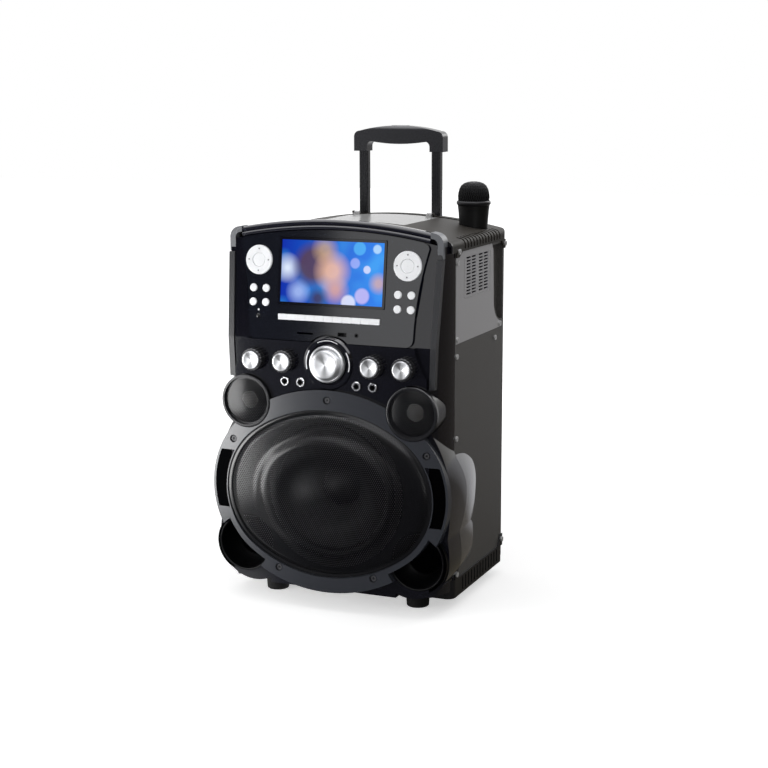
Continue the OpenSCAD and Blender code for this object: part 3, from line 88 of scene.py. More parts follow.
# Where finishes change within one piece
BROW_FRONT = 0.0875
CORNER_FOOT_Z = 0.4967
BLOCK_SIDE, BLOCK_TOP, BLOCK_FRONT = 0.150, 0.225, -0.1216
SIDE_SCREW_X = 0.158
AMP_BOARD_Y = 0.075
BLACK = (0.008, 0.008, 0.009)


# ---------------------------------------------------------------- settings
class KaraokeFinishes(bpy.types.PropertyGroup):
    """Colours of the mouldings and metals"""

    console: FloatVectorProperty(
        name="Console", description="Glossy console moulding", subtype="COLOR", default=(0.004, 0.004, 0.007))
    panel: FloatVectorProperty(
        name="Control panel", description="Slate-grey panel round the display", subtype="COLOR",
        default=(0.006, 0.007, 0.011))
    ring: FloatVectorProperty(
        name="Woofer ring", description="Satin grey ring", subtype="COLOR", default=(0.025, 0.027, 0.033))
    cap: FloatVectorProperty(
        name="Top cap", description="Satin grey-brown cap", subtype="COLOR", default=(0.020, 0.018, 0.015))
    vinyl: FloatVectorProperty(
        name="Vinyl", description="Textured cover of the cabinet", subtype="COLOR", default=(0.050, 0.048, 0.045))
    grille: FloatVectorProperty(
        name="Grille", description="Painted perforated metal", subtype="COLOR", default=(0.005, 0.005, 0.006))
    button: FloatVectorProperty(
        name="Buttons", description="White buttons and keys", subtype="COLOR", default=(0.86, 0.87, 0.89))
    silver: FloatVectorProperty(
        name="Knob caps", description="Spun aluminium", subtype="COLOR", default=(0.82, 0.83, 0.85))


class KaraokeGrille(bpy.types.PropertyGroup):
    """Perforation of the speaker grilles"""

    woofer_pitch: FloatProperty(
        name="Woofer hole pitch", description="Distance between holes over the woofer", unit="LENGTH",
        default=0.0031)
    tweeter_pitch: FloatProperty(
        name="Tweeter hole pitch", description="Distance between holes over a tweeter", unit="LENGTH",
        default=0.0026)
    hole: FloatProperty(
        name="Hole share", description="Width of a hole as a share of its cell", subtype="FACTOR", default=0.66)
    thickness: FloatProperty(
        name="Sheet thickness", description="Thickness of the perforated sheet", unit="LENGTH", default=0.0008)


class KaraokeStage(bpy.types.PropertyGroup):
    """Camera and lamps of the studio"""

    lens: FloatProperty(name="Focal length", description="Camera lens in millimetres", default=77.37)
    key_power: FloatProperty(
        name="Key lamp", description="Power of the large lamp on the left", unit="POWER", default=5.0)
    strip_power: FloatProperty(
        name="Strip lamp", description="Power of the narrow lamp near the left", unit="POWER", default=4.5)
    fill_power: FloatProperty(
        name="Fill lamp", description="Power of the lamp on the right", unit="POWER", default=9.0)
    rim_power: FloatProperty(name="Rim lamp", description="Power of the lamp behind", unit="POWER", default=14.0)
    top_power: FloatProperty(
        name="Top lamp", description="Power of the lamp overhead", unit="POWER", default=10.0)
    floor_color: FloatVectorProperty(
        name="Floor", description="Colour of the floor", subtype="COLOR", default=(0.86, 0.86, 0.86))


# ---------------------------------------------------------------- node helpers
def add(tree, kind, inputs=None, **settings):
    """A new node with its settings; an input is a value, or a socket that is linked to it."""
    made = tree.nodes.new(kind)
    for key, value in settings.items():
        setattr(made, key, value)
    for key, value in (inputs or {}).items():
        if isinstance(value, bpy.types.NodeSocket):
            tree.links.new(value, made.inputs[key])
        else:
            made.inputs[key].default_value = value
    return made


def calc(tree, operation, *values, clamp=False):
    """The output of a Math node on one to three values or sockets."""
    return add(tree, "ShaderNodeMath", dict(enumerate(values)), operation=operation, use_clamp=clamp).outputs[0]


def split(tree, vector):
    """The X, Y and Z sockets of a vector."""
    return add(tree, "ShaderNodeSeparateXYZ", {0: vector}).outputs


def geo(tree, kind, inputs, **settings):
    """The first output of a Geometry node."""
    return add(tree, f"GeometryNode{kind}", inputs, **settings).outputs[0]


def span(tree, x, z):
    """Length of the flat vector (x, z)."""
    squares = (calc(tree, "MULTIPLY", value, value) for value in (x, z))
    return calc(tree, "SQRT", calc(tree, "ADD", *squares))


def remap(tree, value, low, high, start=0.0, stop=1.0):
    """Maps a value from start..stop to low..high, held at both ends."""
    return add(tree, "ShaderNodeMapRange", {0: value, 1: start, 2: stop, 3: low, 4: high}).outputs[0]


def group_tree(name, kind, inputs, outputs):
    """A node group with its input and output nodes; each socket has a type, or the value of a float."""
    tree = bpy.data.node_groups.new(name, kind)
    for direction, sockets in (("INPUT", inputs), ("OUTPUT", outputs)):
        for label, value in sockets.items():
            socket = value if isinstance(value, str) else "Float"
            made = tree.interface.new_socket(label, in_out=direction, socket_type=f"NodeSocket{socket}")
            if socket != value:
                made.default_value = value
    return tree, tree.nodes.new("NodeGroupInput"), tree.nodes.new("NodeGroupOutput")


def made_once(name):
    """Lets a function that builds the node group of this name build it only once."""
    def wrap(build):
        return lambda: bpy.data.node_groups.get(name) or build(name)
    return wrap


def mix_color(tree, factor, a, b, blend="MIX"):
    """The colour from a to b by the factor; each may be a socket."""
    first, second = (value if isinstance(value, bpy.types.NodeSocket) else (*value[:3], 1.0) for value in (a, b))
    return add(tree, "ShaderNodeMix", {0: factor, 6: first, 7: second}, data_type="RGBA",
               blend_type=blend).outputs[2]


# ---------------------------------------------------------------- shared effects
@made_once("Moulded grain")
def grain_group(name):
    """Fine moulded grain: a normal from noise, by scale and strength."""
    tree, start, end = group_tree(
        name, "ShaderNodeTree", {"Vector": "Vector", "Scale": 900.0, "Strength": 0.2}, {"Normal": "Vector"})
    vector, scale, strength = start.outputs[:3]
    noise = add(tree, "ShaderNodeTexNoise", {"Vector": vector, "Scale": scale, "Detail": 3.0})
    bump = add(tree, "ShaderNodeBump", {"Strength": strength, "Distance": 0.0004, "Height": noise.outputs[0]})
    tree.links.new(bump.outputs[0], end.inputs[0])
    return tree


@made_once("Handling haze")
def haze_group(name):
    """Faint unevenness of a handled surface: a roughness around a middle value."""
    tree, start, end = group_tree(
        name, "ShaderNodeTree", {"Vector": "Vector", "Roughness": 0.3, "Amount": 0.05}, {"Roughness": "Float"})
    vector, rough, amount = start.outputs[:3]
    noise = add(tree, "ShaderNodeTexNoise", {"Vector": vector, "Scale": 14.0, "Detail": 4.0})
    shift = calc(tree, "SUBTRACT", noise.outputs[0], 0.5)
    tree.links.new(calc(tree, "MULTIPLY_ADD", shift, amount, rough), end.inputs[0])
    return tree


@made_once("Soft disc")
def disc_group(name):
    """A soft disc in X and Z, by its middle, radius and softness."""
    tree, start, end = group_tree(
        name, "ShaderNodeTree",
        {"Vector": "Vector", "X": 0.0, "Z": 0.0, "Radius": 0.01, "Softness": 0.002}, {"Mask": "Float"})
    vector, x, z, radius, softness = start.outputs[:5]
    parts = split(tree, vector)
    reach = span(tree, calc(tree, "SUBTRACT", parts[0], x), calc(tree, "SUBTRACT", parts[2], z))
    inside = calc(tree, "SUBTRACT", radius, reach)
    tree.links.new(calc(tree, "DIVIDE", inside, softness, clamp=True), end.inputs[0])
    return tree


@made_once("Soft step")
def step_group(name):
    """1 where a value lies above an edge, with a soft step."""
    tree, start, end = group_tree(
        name, "ShaderNodeTree", {"Value": 0.0, "Edge": 0.0, "Softness": 0.001}, {"Mask": "Float"})
    value, edge, softness = start.outputs[:3]
    over = calc(tree, "SUBTRACT", value, edge)
    tree.links.new(calc(tree, "DIVIDE", over, softness, clamp=True), end.inputs[0])
    return tree


def use(tree, group, inputs):
    """The first output of a node group with these inputs."""
    return add(tree, "ShaderNodeGroup", inputs, node_tree=group).outputs[0]


def above(tree, value, edge, softness=0.0004):
    """A mask of where the value lies above the edge."""
    return use(tree, step_group(), {"Value": value, "Edge": edge, "Softness": softness})


# ---------------------------------------------------------------- materials
def finish(name, color, rough, metallic=0.0, specular=0.5, coat=0.0, grain=None, haze=0.0):
    """A material, its tree, its shader and its Object coordinates, with optional grain and haze."""
    material = bpy.data.materials.new(name)
    material.use_nodes = True
    tree = material.node_tree
    shader = tree.nodes["Principled BSDF"]
    for socket, value in (("Base Color", (*color, 1.0)), ("Roughness", rough), ("Metallic", metallic),
                          ("Specular IOR Level", specular), ("Coat Weight", coat), ("Coat Roughness", 0.06)):
        shader.inputs[socket].default_value = value
    place = tree.nodes.new("ShaderNodeTexCoord").outputs["Object"]
    if grain:
        normal = use(tree, grain_group(), {"Vector": place, "Scale": grain[0], "Strength": grain[1]})
        tree.links.new(normal, shader.inputs["Normal"])
    if haze:
        uneven = use(tree, haze_group(), {"Vector": place, "Roughness": rough, "Amount": haze})
        tree.links.new(uneven, shader.inputs["Roughness"])
    return material, tree, shader, place


def vinyl_material(color):
    """Textured vinyl: short level dashes pressed into a dark film."""
    material, tree, shader, place = finish("vinyl", color, 0.5, specular=0.3)
    stretch = add(tree, "ShaderNodeMapping", {"Vector": place, "Scale": (1.0, 0.35, 2.2)})
    noise = add(tree, "ShaderNodeTexNoise",
                {"Vector": stretch.outputs[0], "Scale": 520.0, "Detail": 2.0, "Roughness": 0.6})
    bump = add(tree, "ShaderNodeBump", {"Strength": 0.5, "Distance": 0.0005, "Height": noise.outputs[0]})
    tree.links.new(bump.outputs[0], shader.inputs["Normal"])
    tone = remap(tree, noise.outputs[0], 0.75, 1.3, 0.3, 0.7)
    tree.links.new(mix_color(tree, 1.0, color, tone, "MULTIPLY"), shader.inputs["Base Color"])
    return material


def spun_painted_sheen_material(name, color, centre):
    """Spun aluminium round a level axis: painted highlight and shade as bright and dark fans in the base colour,
    and fine rings in the surface.
    """
    material, tree, shader, place = finish(name, color, 0.36, metallic=0.7)
    middle = add(tree, "ShaderNodeVectorMath", {0: place, 1: centre}, operation="SUBTRACT").outputs[0]
    parts = split(tree, middle)
    # Painted highlight and shade: fans round the axis lighten and darken the base colour where reflections would
    # fall on spun metal
    angle = calc(tree, "ARCTAN2", parts[2], parts[0])
    wave = calc(tree, "SINE", calc(tree, "MULTIPLY_ADD", angle, 2.0, 0.9))
    finer_painted_fans = calc(tree, "SINE", calc(tree, "MULTIPLY_ADD", angle, 5.0, 0.4))
    tone = remap(tree, calc(tree, "MULTIPLY_ADD", finer_painted_fans, 0.35, wave), 0.3, 1.2, -1.1, 1.1)
    tree.links.new(mix_color(tree, 1.0, color, tone, "MULTIPLY"), shader.inputs["Base Color"])
    rings = calc(tree, "SINE", calc(tree, "MULTIPLY", span(tree, parts[0], parts[2]), 18000.0))
    bump = add(tree, "ShaderNodeBump", {"Strength": 0.12, "Distance": 0.0001, "Height": rings})
    tree.links.new(bump.outputs[0], shader.inputs["Normal"])
    return material


def two_tone(name, first, second, mask_of, rough, masked=(), **settings):
    """A finish that turns from one colour to another by a mask of X, Y and Z.
    Each masked socket turns with it, between its two values."""
    material, tree, shader, place = finish(name, first, rough, **settings)
    mask = mask_of(tree, *split(tree, place))
    tree.links.new(mix_color(tree, mask, first, second), shader.inputs["Base Color"])
    for socket, low, high in masked:
        tree.links.new(remap(tree, mask, low, high), shader.inputs[socket])
    return material


def brow_mask(tree, x, y, z):
    """The brow along the front of the top cap."""
    return above(tree, calc(tree, "MULTIPLY", y, -1.0), BROW_FRONT, 0.004)


def block_mask(tree, x, y, z):
    """The dull blocks of the console in the windows of the woofer ring."""
    beside = above(tree, calc(tree, "ABSOLUTE", x), BLOCK_SIDE)
    low, proud = calc(tree, "LESS_THAN", z, BLOCK_TOP), calc(tree, "LESS_THAN", y, BLOCK_FRONT)
    return calc(tree, "MULTIPLY", calc(tree, "MULTIPLY", beside, low), proud)


def corner_mask(tree, x, y, z):
    """The corner pieces over the trim strips."""
    return above(tree, z, CORNER_FOOT_Z)


def jack_mask(tree, x, y, z):
    """The bright rings of the microphone jacks."""
    across = calc(tree, "SUBTRACT", calc(tree, "ABSOLUTE", x), JACK_MIDDLE)
    dx = calc(tree, "SUBTRACT", calc(tree, "ABSOLUTE", across), JACK_APART)
    reach = span(tree, dx, calc(tree, "SUBTRACT", z, JACK_Z))
    inner, outer = JACK_RING
    return calc(tree, "MULTIPLY", above(tree, reach, inner, 0.0002), calc(tree, "LESS_THAN", reach, outer))


def side_screw_mask(tree, x, y, z):
    """The plated screws of the sides."""
    return calc(tree, "GREATER_THAN", calc(tree, "ABSOLUTE", x), SIDE_SCREW_X)


def tweeter_mask(tree, x, y, z):
    """The domes of the tweeters."""
    flat = add(tree, "ShaderNodeCombineXYZ", {0: calc(tree, "ABSOLUTE", x), 2: z}).outputs[0]
    return use(tree, disc_group(), {"Vector": flat, "X": TWEETER.x, "Z": TWEETER.z, "Radius": TWEETER_DOME_R,
                                    "Softness": 0.0004})


def board_mask(tree, x, y, z):
    """The board of the amplifier, behind its plate."""
    return calc(tree, "LESS_THAN", y, AMP_BOARD_Y)


def screen_material():
    """A lit display with a plain design of its own: blue light, soft discs and a warm glow."""
    material, tree, shader, place = finish("screen", (0.0, 0.0, 0.0), 0.08)
    middle = add(tree, "ShaderNodeVectorMath", {0: place, 1: SCREEN_MIDDLE}, operation="SUBTRACT").outputs[0]
    across = remap(tree, split(tree, middle)[0], 0.0, 1.0, -SCREEN_HALF_W, SCREEN_HALF_W)
    color = mix_color(tree, across, (0.006, 0.03, 0.4), (0.0, 0.2, 0.85))
    glow = add(tree, "ShaderNodeTexNoise", {"Vector": middle, "Scale": 26.0, "Detail": 1.0})
    color = mix_color(tree, remap(tree, glow.outputs[0], 0.0, 0.5, 0.45, 0.75), color, (0.05, 0.45, 0.95))
    # Across, up, radius, softness, colour and share of each disc
    discs = [
        (-0.068, 0.004, 0.022, 0.02, (0.75, 0.85, 1.0), 0.95),
        (-0.050, -0.028, 0.020, 0.016, (0.45, 0.6, 1.0), 0.7),
        (-0.028, 0.010, 0.034, 0.016, (0.10, 0.05, 0.05), 0.85),
        (-0.012, 0.030, 0.022, 0.016, (0.55, 0.36, 0.22), 0.75),
        (0.000, 0.002, 0.030, 0.022, (0.85, 0.5, 0.36), 0.85),
        (0.006, -0.024, 0.022, 0.018, (0.75, 0.38, 0.28), 0.75),
        (-0.020, -0.036, 0.018, 0.014, (0.05, 0.02, 0.03), 0.8),
        (0.034, 0.014, 0.008, 0.002, (0.45, 0.5, 1.0), 0.6),
        (0.046, -0.030, 0.012, 0.003, (0.75, 0.6, 0.95), 0.6),
        (0.052, 0.006, 0.006, 0.0015, (0.8, 0.8, 1.0), 0.7),
        (0.066, 0.034, 0.007, 0.002, (0.55, 0.8, 1.0), 0.7),
        (0.070, -0.012, 0.016, 0.012, (0.7, 0.42, 0.3), 0.7),
        (0.040, 0.034, 0.010, 0.002, (0.1, 0.6, 1.0), 0.5),
        (0.026, -0.040, 0.012, 0.003, (0.9, 0.9, 1.0), 0.7),
    ]
    for x, z, radius, softness, tint, share in discs:
        mask = use(tree, disc_group(),
                   {"Vector": middle, "X": x, "Z": z, "Radius": radius, "Softness": softness})
        color = mix_color(tree, calc(tree, "MULTIPLY", mask, share), color, tint)
    tree.links.new(color, shader.inputs["Emission Color"])
    shader.inputs["Emission Strength"].default_value = 1.0
    return material


# ---------------------------------------------------------------- mesh helpers
def placed(name, data):
    """A new object of the scene that shows this data."""
    made = bpy.data.objects.new(name, data)
    bpy.context.scene.collection.objects.link(made)
    return made


def new_piece(name, verts, faces, material, body=MACHINE, slot=None, smooth=False):
    """A piece of the machine from vertices and faces that are already in place."""
    mesh = bpy.data.meshes.new(name)
    mesh.from_pydata([tuple(v) for v in verts], [], faces)
    mesh.validate()
    piece = placed(name, mesh)
    if material:
        mesh.materials.append(material)
    mesh.shade_smooth() if smooth else mesh.shade_flat()
    if body:
        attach(piece, body)
    return piece


def circle(steps):
    """Angles of a full turn in this many steps."""
    return [2 * math.pi * k / steps for k in range(steps)]


def spoke(radius, angle, y):
    """A point at this radius and angle round the Y axis."""
    return Vector((radius * math.cos(angle), y, radius * math.sin(angle)))


def turned(profile, centre, segments=64, axis="front"):
    """Vertices and faces of a closed profile of (radius, height), turned round an axis through centre.
    Heights run towards the front, or upwards where axis is up."""
    verts, faces, rings = [], [], []
    for radius, height in profile:
        angles = circle(segments) if radius > 1e-7 else [0.0]
        rings.append(range(len(verts), len(verts) + len(angles)))
        for a in angles:
            up = Vector((radius * math.cos(a), radius * math.sin(a), height))
            verts.append(centre + (spoke(radius, a, -height) if axis == "front" else up))
    for low, high in zip(rings, rings[1:]):
        for k in range(segments):
            # A ring of one vertex, on the axis, gives the same corner twice
            corners = (ring[i % len(ring)] for ring, i in ((low, k), (low, k + 1), (high, k + 1), (high, k)))
            face = tuple(dict.fromkeys(corners))
            if len(face) > 2:
                faces.append(face)
    return verts, faces


def rounding(x, y, radius, degrees):
    """Points of a rounded edge about (x, y), at these angles."""
    return [(x + radius * math.cos(a), y + radius * math.sin(a)) for a in map(math.radians, degrees)]


def ring_faces(rows, steps, closed=False):
    """Faces between rows of steps vertices each; closed joins the last row to the first."""
    pairs = [(i * steps, (i + 1) % rows * steps) for i in range(rows if closed else rows - 1)]
    return [(low + k, low + (k + 1) % steps, high + (k + 1) % steps, high + k)
            for low, high in pairs for k in range(steps)]


def joined(shapes):
    """Several shapes of vertices and faces as one."""
    verts, faces = [], []
    for more, more_faces in shapes:
        faces += [tuple(i + len(verts) for i in face) for face in more_faces]
        verts += more
    return verts, faces


def outward(piece):
    """Closes doubles and turns the faces of a piece outwards."""
    data = bmesh.new()
    data.from_mesh(piece.data)
    bmesh.ops.remove_doubles(data, verts=data.verts, dist=1e-7)
    bmesh.ops.recalc_face_normals(data, faces=data.faces)
    data.to_mesh(piece.data)
    data.free()
    return piece


def evaluated(piece):
    """Turns the piece's live modifiers into a plain mesh."""
    graph = bpy.context.evaluated_depsgraph_get()
    mesh = bpy.data.meshes.new_from_object(piece.evaluated_get(graph))
    piece.modifiers.clear()
    piece.data = mesh
    return piece


# ---------------------------------------------------------------- perforated sheet
@made_once("Perforated sheet")
def perforation_tree(name):
    """Hexagonal cells with hexagonal holes, laid on the surface that the modifier's object gives."""
    tree, start, end = group_tree(
        name, "GeometryNodeTree",
        {"Geometry": "Geometry", "Pitch": 0.003, "Hole share": 0.66, "Thickness": 0.0008, "Width": 0.3,
         "Height": 0.2, "Middle": "Vector", "Material": "Material"},
        {"Geometry": "Geometry"})
    surface, pitch, share, thick, width, height, middle, material = start.outputs[:8]
    quarter = math.pi / 2
    # A grid of points in a triangular pattern, upright in front of the surface
    row_gap = calc(tree, "MULTIPLY", pitch, math.sqrt(3) / 2)
    columns = calc(tree, "CEIL", calc(tree, "DIVIDE", width, pitch))
    rows = calc(tree, "CEIL", calc(tree, "DIVIDE", height, row_gap))
    row_points = calc(tree, "ADD", rows, 1.0)
    grid = geo(tree, "MeshGrid", {
        "Size X": calc(tree, "MULTIPLY", columns, pitch), "Size Y": calc(tree, "MULTIPLY", rows, row_gap),
        "Vertices X": calc(tree, "ADD", columns, 1.0), "Vertices Y": row_points})
    row = calc(tree, "FLOORED_MODULO", tree.nodes.new("GeometryNodeInputIndex").outputs[0], row_points)
    odd = calc(tree, "FLOORED_MODULO", row, 2.0)
    aside = calc(tree, "MULTIPLY", calc(tree, "MULTIPLY", odd, pitch), 0.5)
    shift = add(tree, "ShaderNodeCombineXYZ", {0: aside}).outputs[0]
    staggered = geo(tree, "SetPosition", {"Geometry": grid, "Offset": shift})
    upright = geo(tree, "Transform", {"Geometry": staggered, "Translation": middle, "Rotation": (quarter, 0, 0)})
    # Where a ray along +Y from each point meets the surface
    place = tree.nodes.new("GeometryNodeInputPosition").outputs[0]
    before = add(tree, "ShaderNodeVectorMath", {0: place, 1: (0.0, -0.2, 0.0)}, operation="ADD").outputs[0]
    found = add(tree, "GeometryNodeRaycast", {"Target Geometry": surface, "Source Position": before,
                                              "Ray Direction": (0.0, 1.0, 0.0), "Ray Length": 1.0})
    hit = found.outputs["Is Hit"]
    missed = add(tree, "FunctionNodeBooleanMath", {0: hit}, operation="NOT").outputs[0]
    kept = geo(tree, "DeleteGeometry", {"Geometry": upright, "Selection": missed}, domain="POINT")
    # One cell: a hexagon with a hexagonal hole that has walls
    cell_r = calc(tree, "DIVIDE", pitch, math.sqrt(3))
    cell = geo(tree, "MeshCircle", {"Vertices": 6, "Radius": cell_r}, fill_type="NGON")
    cell = geo(tree, "Transform", {"Geometry": cell, "Rotation": (0, 0, math.pi / 6)})
    inner = add(tree, "GeometryNodeExtrudeMesh", {"Mesh": cell, "Offset Scale": 0.0}, mode="FACES")
    inside = inner.outputs["Top"]
    shrunk = geo(tree, "ScaleElements", {"Geometry": inner.outputs[0], "Selection": inside, "Scale": share},
                 domain="FACE")
    wall = add(tree, "GeometryNodeExtrudeMesh", {
        "Mesh": shrunk, "Selection": inside, "Offset Scale": calc(tree, "MULTIPLY", thick, -1.0)}, mode="FACES")
    ring = geo(tree, "DeleteGeometry", {"Geometry": wall.outputs[0], "Selection": wall.outputs["Top"]},
               domain="FACE", mode="ALL")
    copies = geo(tree, "InstanceOnPoints", {"Points": kept, "Instance": ring, "Rotation": (quarter, 0, 0)})
    real = geo(tree, "RealizeInstances", {"Geometry": copies})
    whole = geo(tree, "MergeByDistance", {"Geometry": real, "Distance": 0.00002})
    # The flat sheet pressed on the surface, and what falls beside it taken off
    x, y, z = split(tree, place)
    depth = calc(tree, "SUBTRACT", y, split(tree, middle)[1])
    landed = calc(tree, "ADD", split(tree, found.outputs["Hit Position"])[1], depth)
    on_sheet = add(tree, "ShaderNodeCombineXYZ", {0: x, 1: landed, 2: z}).outputs[0]
    laid = geo(tree, "SetPosition", {"Geometry": whole, "Selection": hit, "Position": on_sheet})
    clean = geo(tree, "DeleteGeometry", {"Geometry": laid, "Selection": missed}, domain="POINT")
    tree.links.new(geo(tree, "SetMaterial", {"Geometry": clean, "Material": material}), end.inputs[0])
    return tree


def set_inputs(modifier, **values):
    """Sets a modifier's inputs by the sockets' identifiers."""
    for item in modifier.node_group.interface.items_tree:
        label = item.name.replace(" ", "_").lower()
        if item.item_type == "SOCKET" and item.in_out == "INPUT" and label in values:
            modifier[item.identifier] = values[label]


def oval_reach(half_w, half_h, end_r, angle):
    """Distance from the middle to an oval of four tangent arcs, in the direction of the angle."""
    c = half_w - end_r
    big = (c * c + half_h * half_h - end_r * end_r) / (2 * (half_h - end_r))
    d = big - half_h
    tx = big * c / math.hypot(c, d)
    u, v = abs(math.cos(angle)), abs(math.sin(angle))
    far_arc = math.sqrt(big * big - d * d * u * u) - d * v
    return far_arc if far_arc * u <= tx else c * u + math.sqrt(end_r * end_r - c * c * v * v)


def ease(f, a, b):
    """A smooth step from 0 at a to 1 at b."""
    t = min(1.0, max(0.0, (f - a) / (b - a)))
    return t * t * (3 - 2 * t)


def dome(f):
    """Height of the stamped sheet: a rolled edge, a broad shoulder, an oval step and an oval hollow."""
    return GRILLE_RISE * (0.30 * (1 - ease(f, 0.9, 0.985)) + 0.34 * (1 - f * f) + 0.30 * (1 - ease(f, 0.60, 0.74))
                          - 0.09 * (1 - ease(f, 0.34, 0.50)) + 0.17 * (1 - ease(f, 0.0, 0.34)))


def in_ring(x, y, z):
    """A point of the leaning ring's frame, in the machine's frame."""
    c, s = math.cos(RING_LEAN), math.sin(RING_LEAN)
    return RING_ORIGIN + Vector((x, y * c + z * s, -y * s + z * c))


def dome_sheet(shares, segments=160, lift=0.0):
    """The oval sheet between shares of its outline, as vertices and faces that face the front."""
    verts, faces = [], []
    for f in shares:
        for a in circle(segments):
            reach = f * oval_reach(GRILLE_HALF_W, GRILLE_HALF_H, GRILLE_END_R, a)
            depth = GRILLE_SEAT - dome(f) - lift
            verts.append(in_ring(reach * math.cos(a), depth, reach * math.sin(a) + GRILLE_DROP))
    return verts, ring_faces(len(shares), segments)


def perforate(piece, pitch, size, width, height, middle, material):
    """Turns a surface into a perforated sheet that rides the machine."""
    modifier = piece.modifiers.new("Perforation", "NODES")
    modifier.node_group = perforation_tree()
    set_inputs(modifier, pitch=pitch, hole_share=size.hole, thickness=size.thickness, width=width, height=height,
               middle=middle, material=material)
    evaluated(piece)
    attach(piece, MACHINE)


def dress(name, material):
    """Gives a node of the frame this material alone."""
    materials = NODES[name].data.materials
    materials.clear()
    materials.append(material)


# ---------------------------------------------------------------- operators
class KARAOKE_OT_finishes(bpy.types.Operator):
    """Gives each moulding and metal part of the machine its finish"""

    bl_idname = "karaoke.finishes"
    bl_label = "Mouldings and metal"

    def execute(self, context):
        look = context.scene.karaoke_finishes
        presses = " ".join(name for name in NODES if name.startswith(("button_", "key_", "dpad_")))
        # Material, colour, roughness, other settings and the nodes that wear it
        rows = (
            ("console", look.console, 0.07, {"coat": 0.5, "haze": 0.02}, "display_bezel power_switch"),
            ("panel", look.panel, 0.07, {"specular": 0.95}, "control_panel"),
            ("ring", look.ring, 0.24, {"specular": 0.55, "grain": (2600.0, 0.03)}, "woofer_ring"),
            ("pod", (0.010, 0.010, 0.012), 0.26, {"grain": (2600.0, 0.04)}, "tweeter_pods"),
            ("cheek", (0.030, 0.029, 0.029), 0.16, {"specular": 0.6, "coat": 1.0}, "side_cheeks"),
            ("port", (0.0015, 0.0015, 0.0018), 0.4, {"specular": 0.15}, "port_tubes"),
            ("lid", (0.42, 0.42, 0.42), 0.22, {"specular": 0.8, "grain": (1500.0, 0.05)}, "disc_lid"),
            ("buttons", look.button, 0.3, {}, presses),
            ("black_plastic", (0.007, 0.007, 0.008), 0.4, {"specular": 0.3, "grain": (1800.0, 0.12)},
             "base_cap disc_deck disc_hub"),
            ("rubber", (0.009, 0.009, 0.009), 0.7, {"specular": 0.2}, "feet wheel_left wheel_right"),
            ("plate", (0.28, 0.275, 0.28), 0.36, {"metallic": 0.15, "grain": (2200.0, 0.06)}, "side_plates"),
            ("mic_body", (0.005, 0.005, 0.005), 0.4, {"specular": 0.2}, "microphone_body"),
            ("anodised", (0.010, 0.010, 0.012), 0.22, {}, "trolley_rails handle_tubes"),
            ("steel", (0.55, 0.55, 0.56), 0.3, {"metallic": 1.0}, "wheel_axles"),
            ("grip", (0.012, 0.012, 0.015), 0.24, {"specular": 0.55, "grain": (1800.0, 0.04)}, "handle_grip"),
            ("release", (0.05, 0.05, 0.055), 0.3, {}, "release_button"),
        )
        for name, color, rough, settings, wearers in rows:
            material = finish(name, color, rough, **settings)[0]
            for node in wearers.split():
                dress(node, material)
        # Glossy blue-black brow on the satin cap
        dress("top_cap", two_tone("cap", look.cap, (0.006, 0.006, 0.012), brow_mask, 0.5,
                                  (("Roughness", 0.5, 0.12), ("Coat Weight", 0.0, 1.0)),
                                  specular=0.1, grain=(1500.0, 0.1)))
        dress("fascia", two_tone("console_front", look.console, (0.0008, 0.0008, 0.001), block_mask, 0.08,
                                 (("Roughness", 0.08, 0.5), ("Coat Weight", 0.4, 0.0), ("Metallic", 0.0, 1.0))))
        dress("corner_trims", two_tone("trims", (0.018, 0.0185, 0.021), (0.12, 0.125, 0.135), corner_mask, 0.36))
        dress("sockets", two_tone("sockets", BLACK, (0.8, 0.8, 0.82), jack_mask, 0.25, (("Metallic", 0.0, 1.0),)))
        dress("screws", two_tone("screws", (0.02, 0.02, 0.022), (0.5, 0.5, 0.5), side_screw_mask, 0.35,
                                 metallic=0.6))
        dress("speaker_drivers", two_tone("drivers", BLACK, (0.75, 0.74, 0.72), tweeter_mask, 0.45,
                                          (("Metallic", 0.0, 0.3),)))
        dress("amp_module", two_tone("amplifier", (0.02, 0.02, 0.02), (0.01, 0.09, 0.03), board_mask, 0.4))
        dress("cabinet", vinyl_material(look.vinyl))
        return {"FINISHED"}


class KARAOKE_OT_screen(bpy.types.Operator):
    """Lights the display with its plain design"""

    bl_idname = "karaoke.screen"
    bl_label = "Display"

    def execute(self, context):
        dress("display_screen", screen_material())
        return {"FINISHED"}


class KARAOKE_OT_grilles(bpy.types.Operator):
    """Perforated grilles over the woofer and the tweeters"""

    bl_idname = "karaoke.grilles"
    bl_label = "Speaker grilles"

    def execute(self, context):
        size = context.scene.karaoke_grille
        metal = finish("grille", context.scene.karaoke_finishes.grille, 0.2, specular=0.45)[0]
        shares = [0.0005] + [i / 64 for i in range(1, 63)] + [0.975]
        sheet = new_piece("grille_woofer", *dome_sheet(shares), metal, body=None)
        perforate(sheet, size.woofer_pitch, size, 0.32, 0.24, in_ring(0.0, 0.0, GRILLE_DROP), metal)
        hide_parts("speaker_grilles")
        rim_shares = [0.962, 0.97, 0.978, 0.985, 0.992, 1.0]
        rim = new_piece("grille_rim", *dome_sheet(rim_shares, lift=0.0003), metal, slot="grille")
        thick = rim.modifiers.new("Sheet", "SOLIDIFY")
        thick.thickness = size.thickness
        thick.offset = -1.0
        evaluated(rim)
        for side, label in ((-1, "left"), (1, "right")):
            centre = Vector((side * TWEETER.x, TWEETER.y, TWEETER.z))
            profile = [(TWEETER_R * i / 12, TWEETER_RISE * (1 - (i / 12) ** 2)) for i in range(13)]
            verts, faces = turned(profile, centre, 72)
            cover = new_piece(f"grille_tweeter_{label}", verts, [f[::-1] for f in faces], metal, body=None)
            perforate(cover, size.tweeter_pitch, size, 0.07, 0.07, centre - Vector((0, 0.01, 0)), metal)
        return {"FINISHED"}


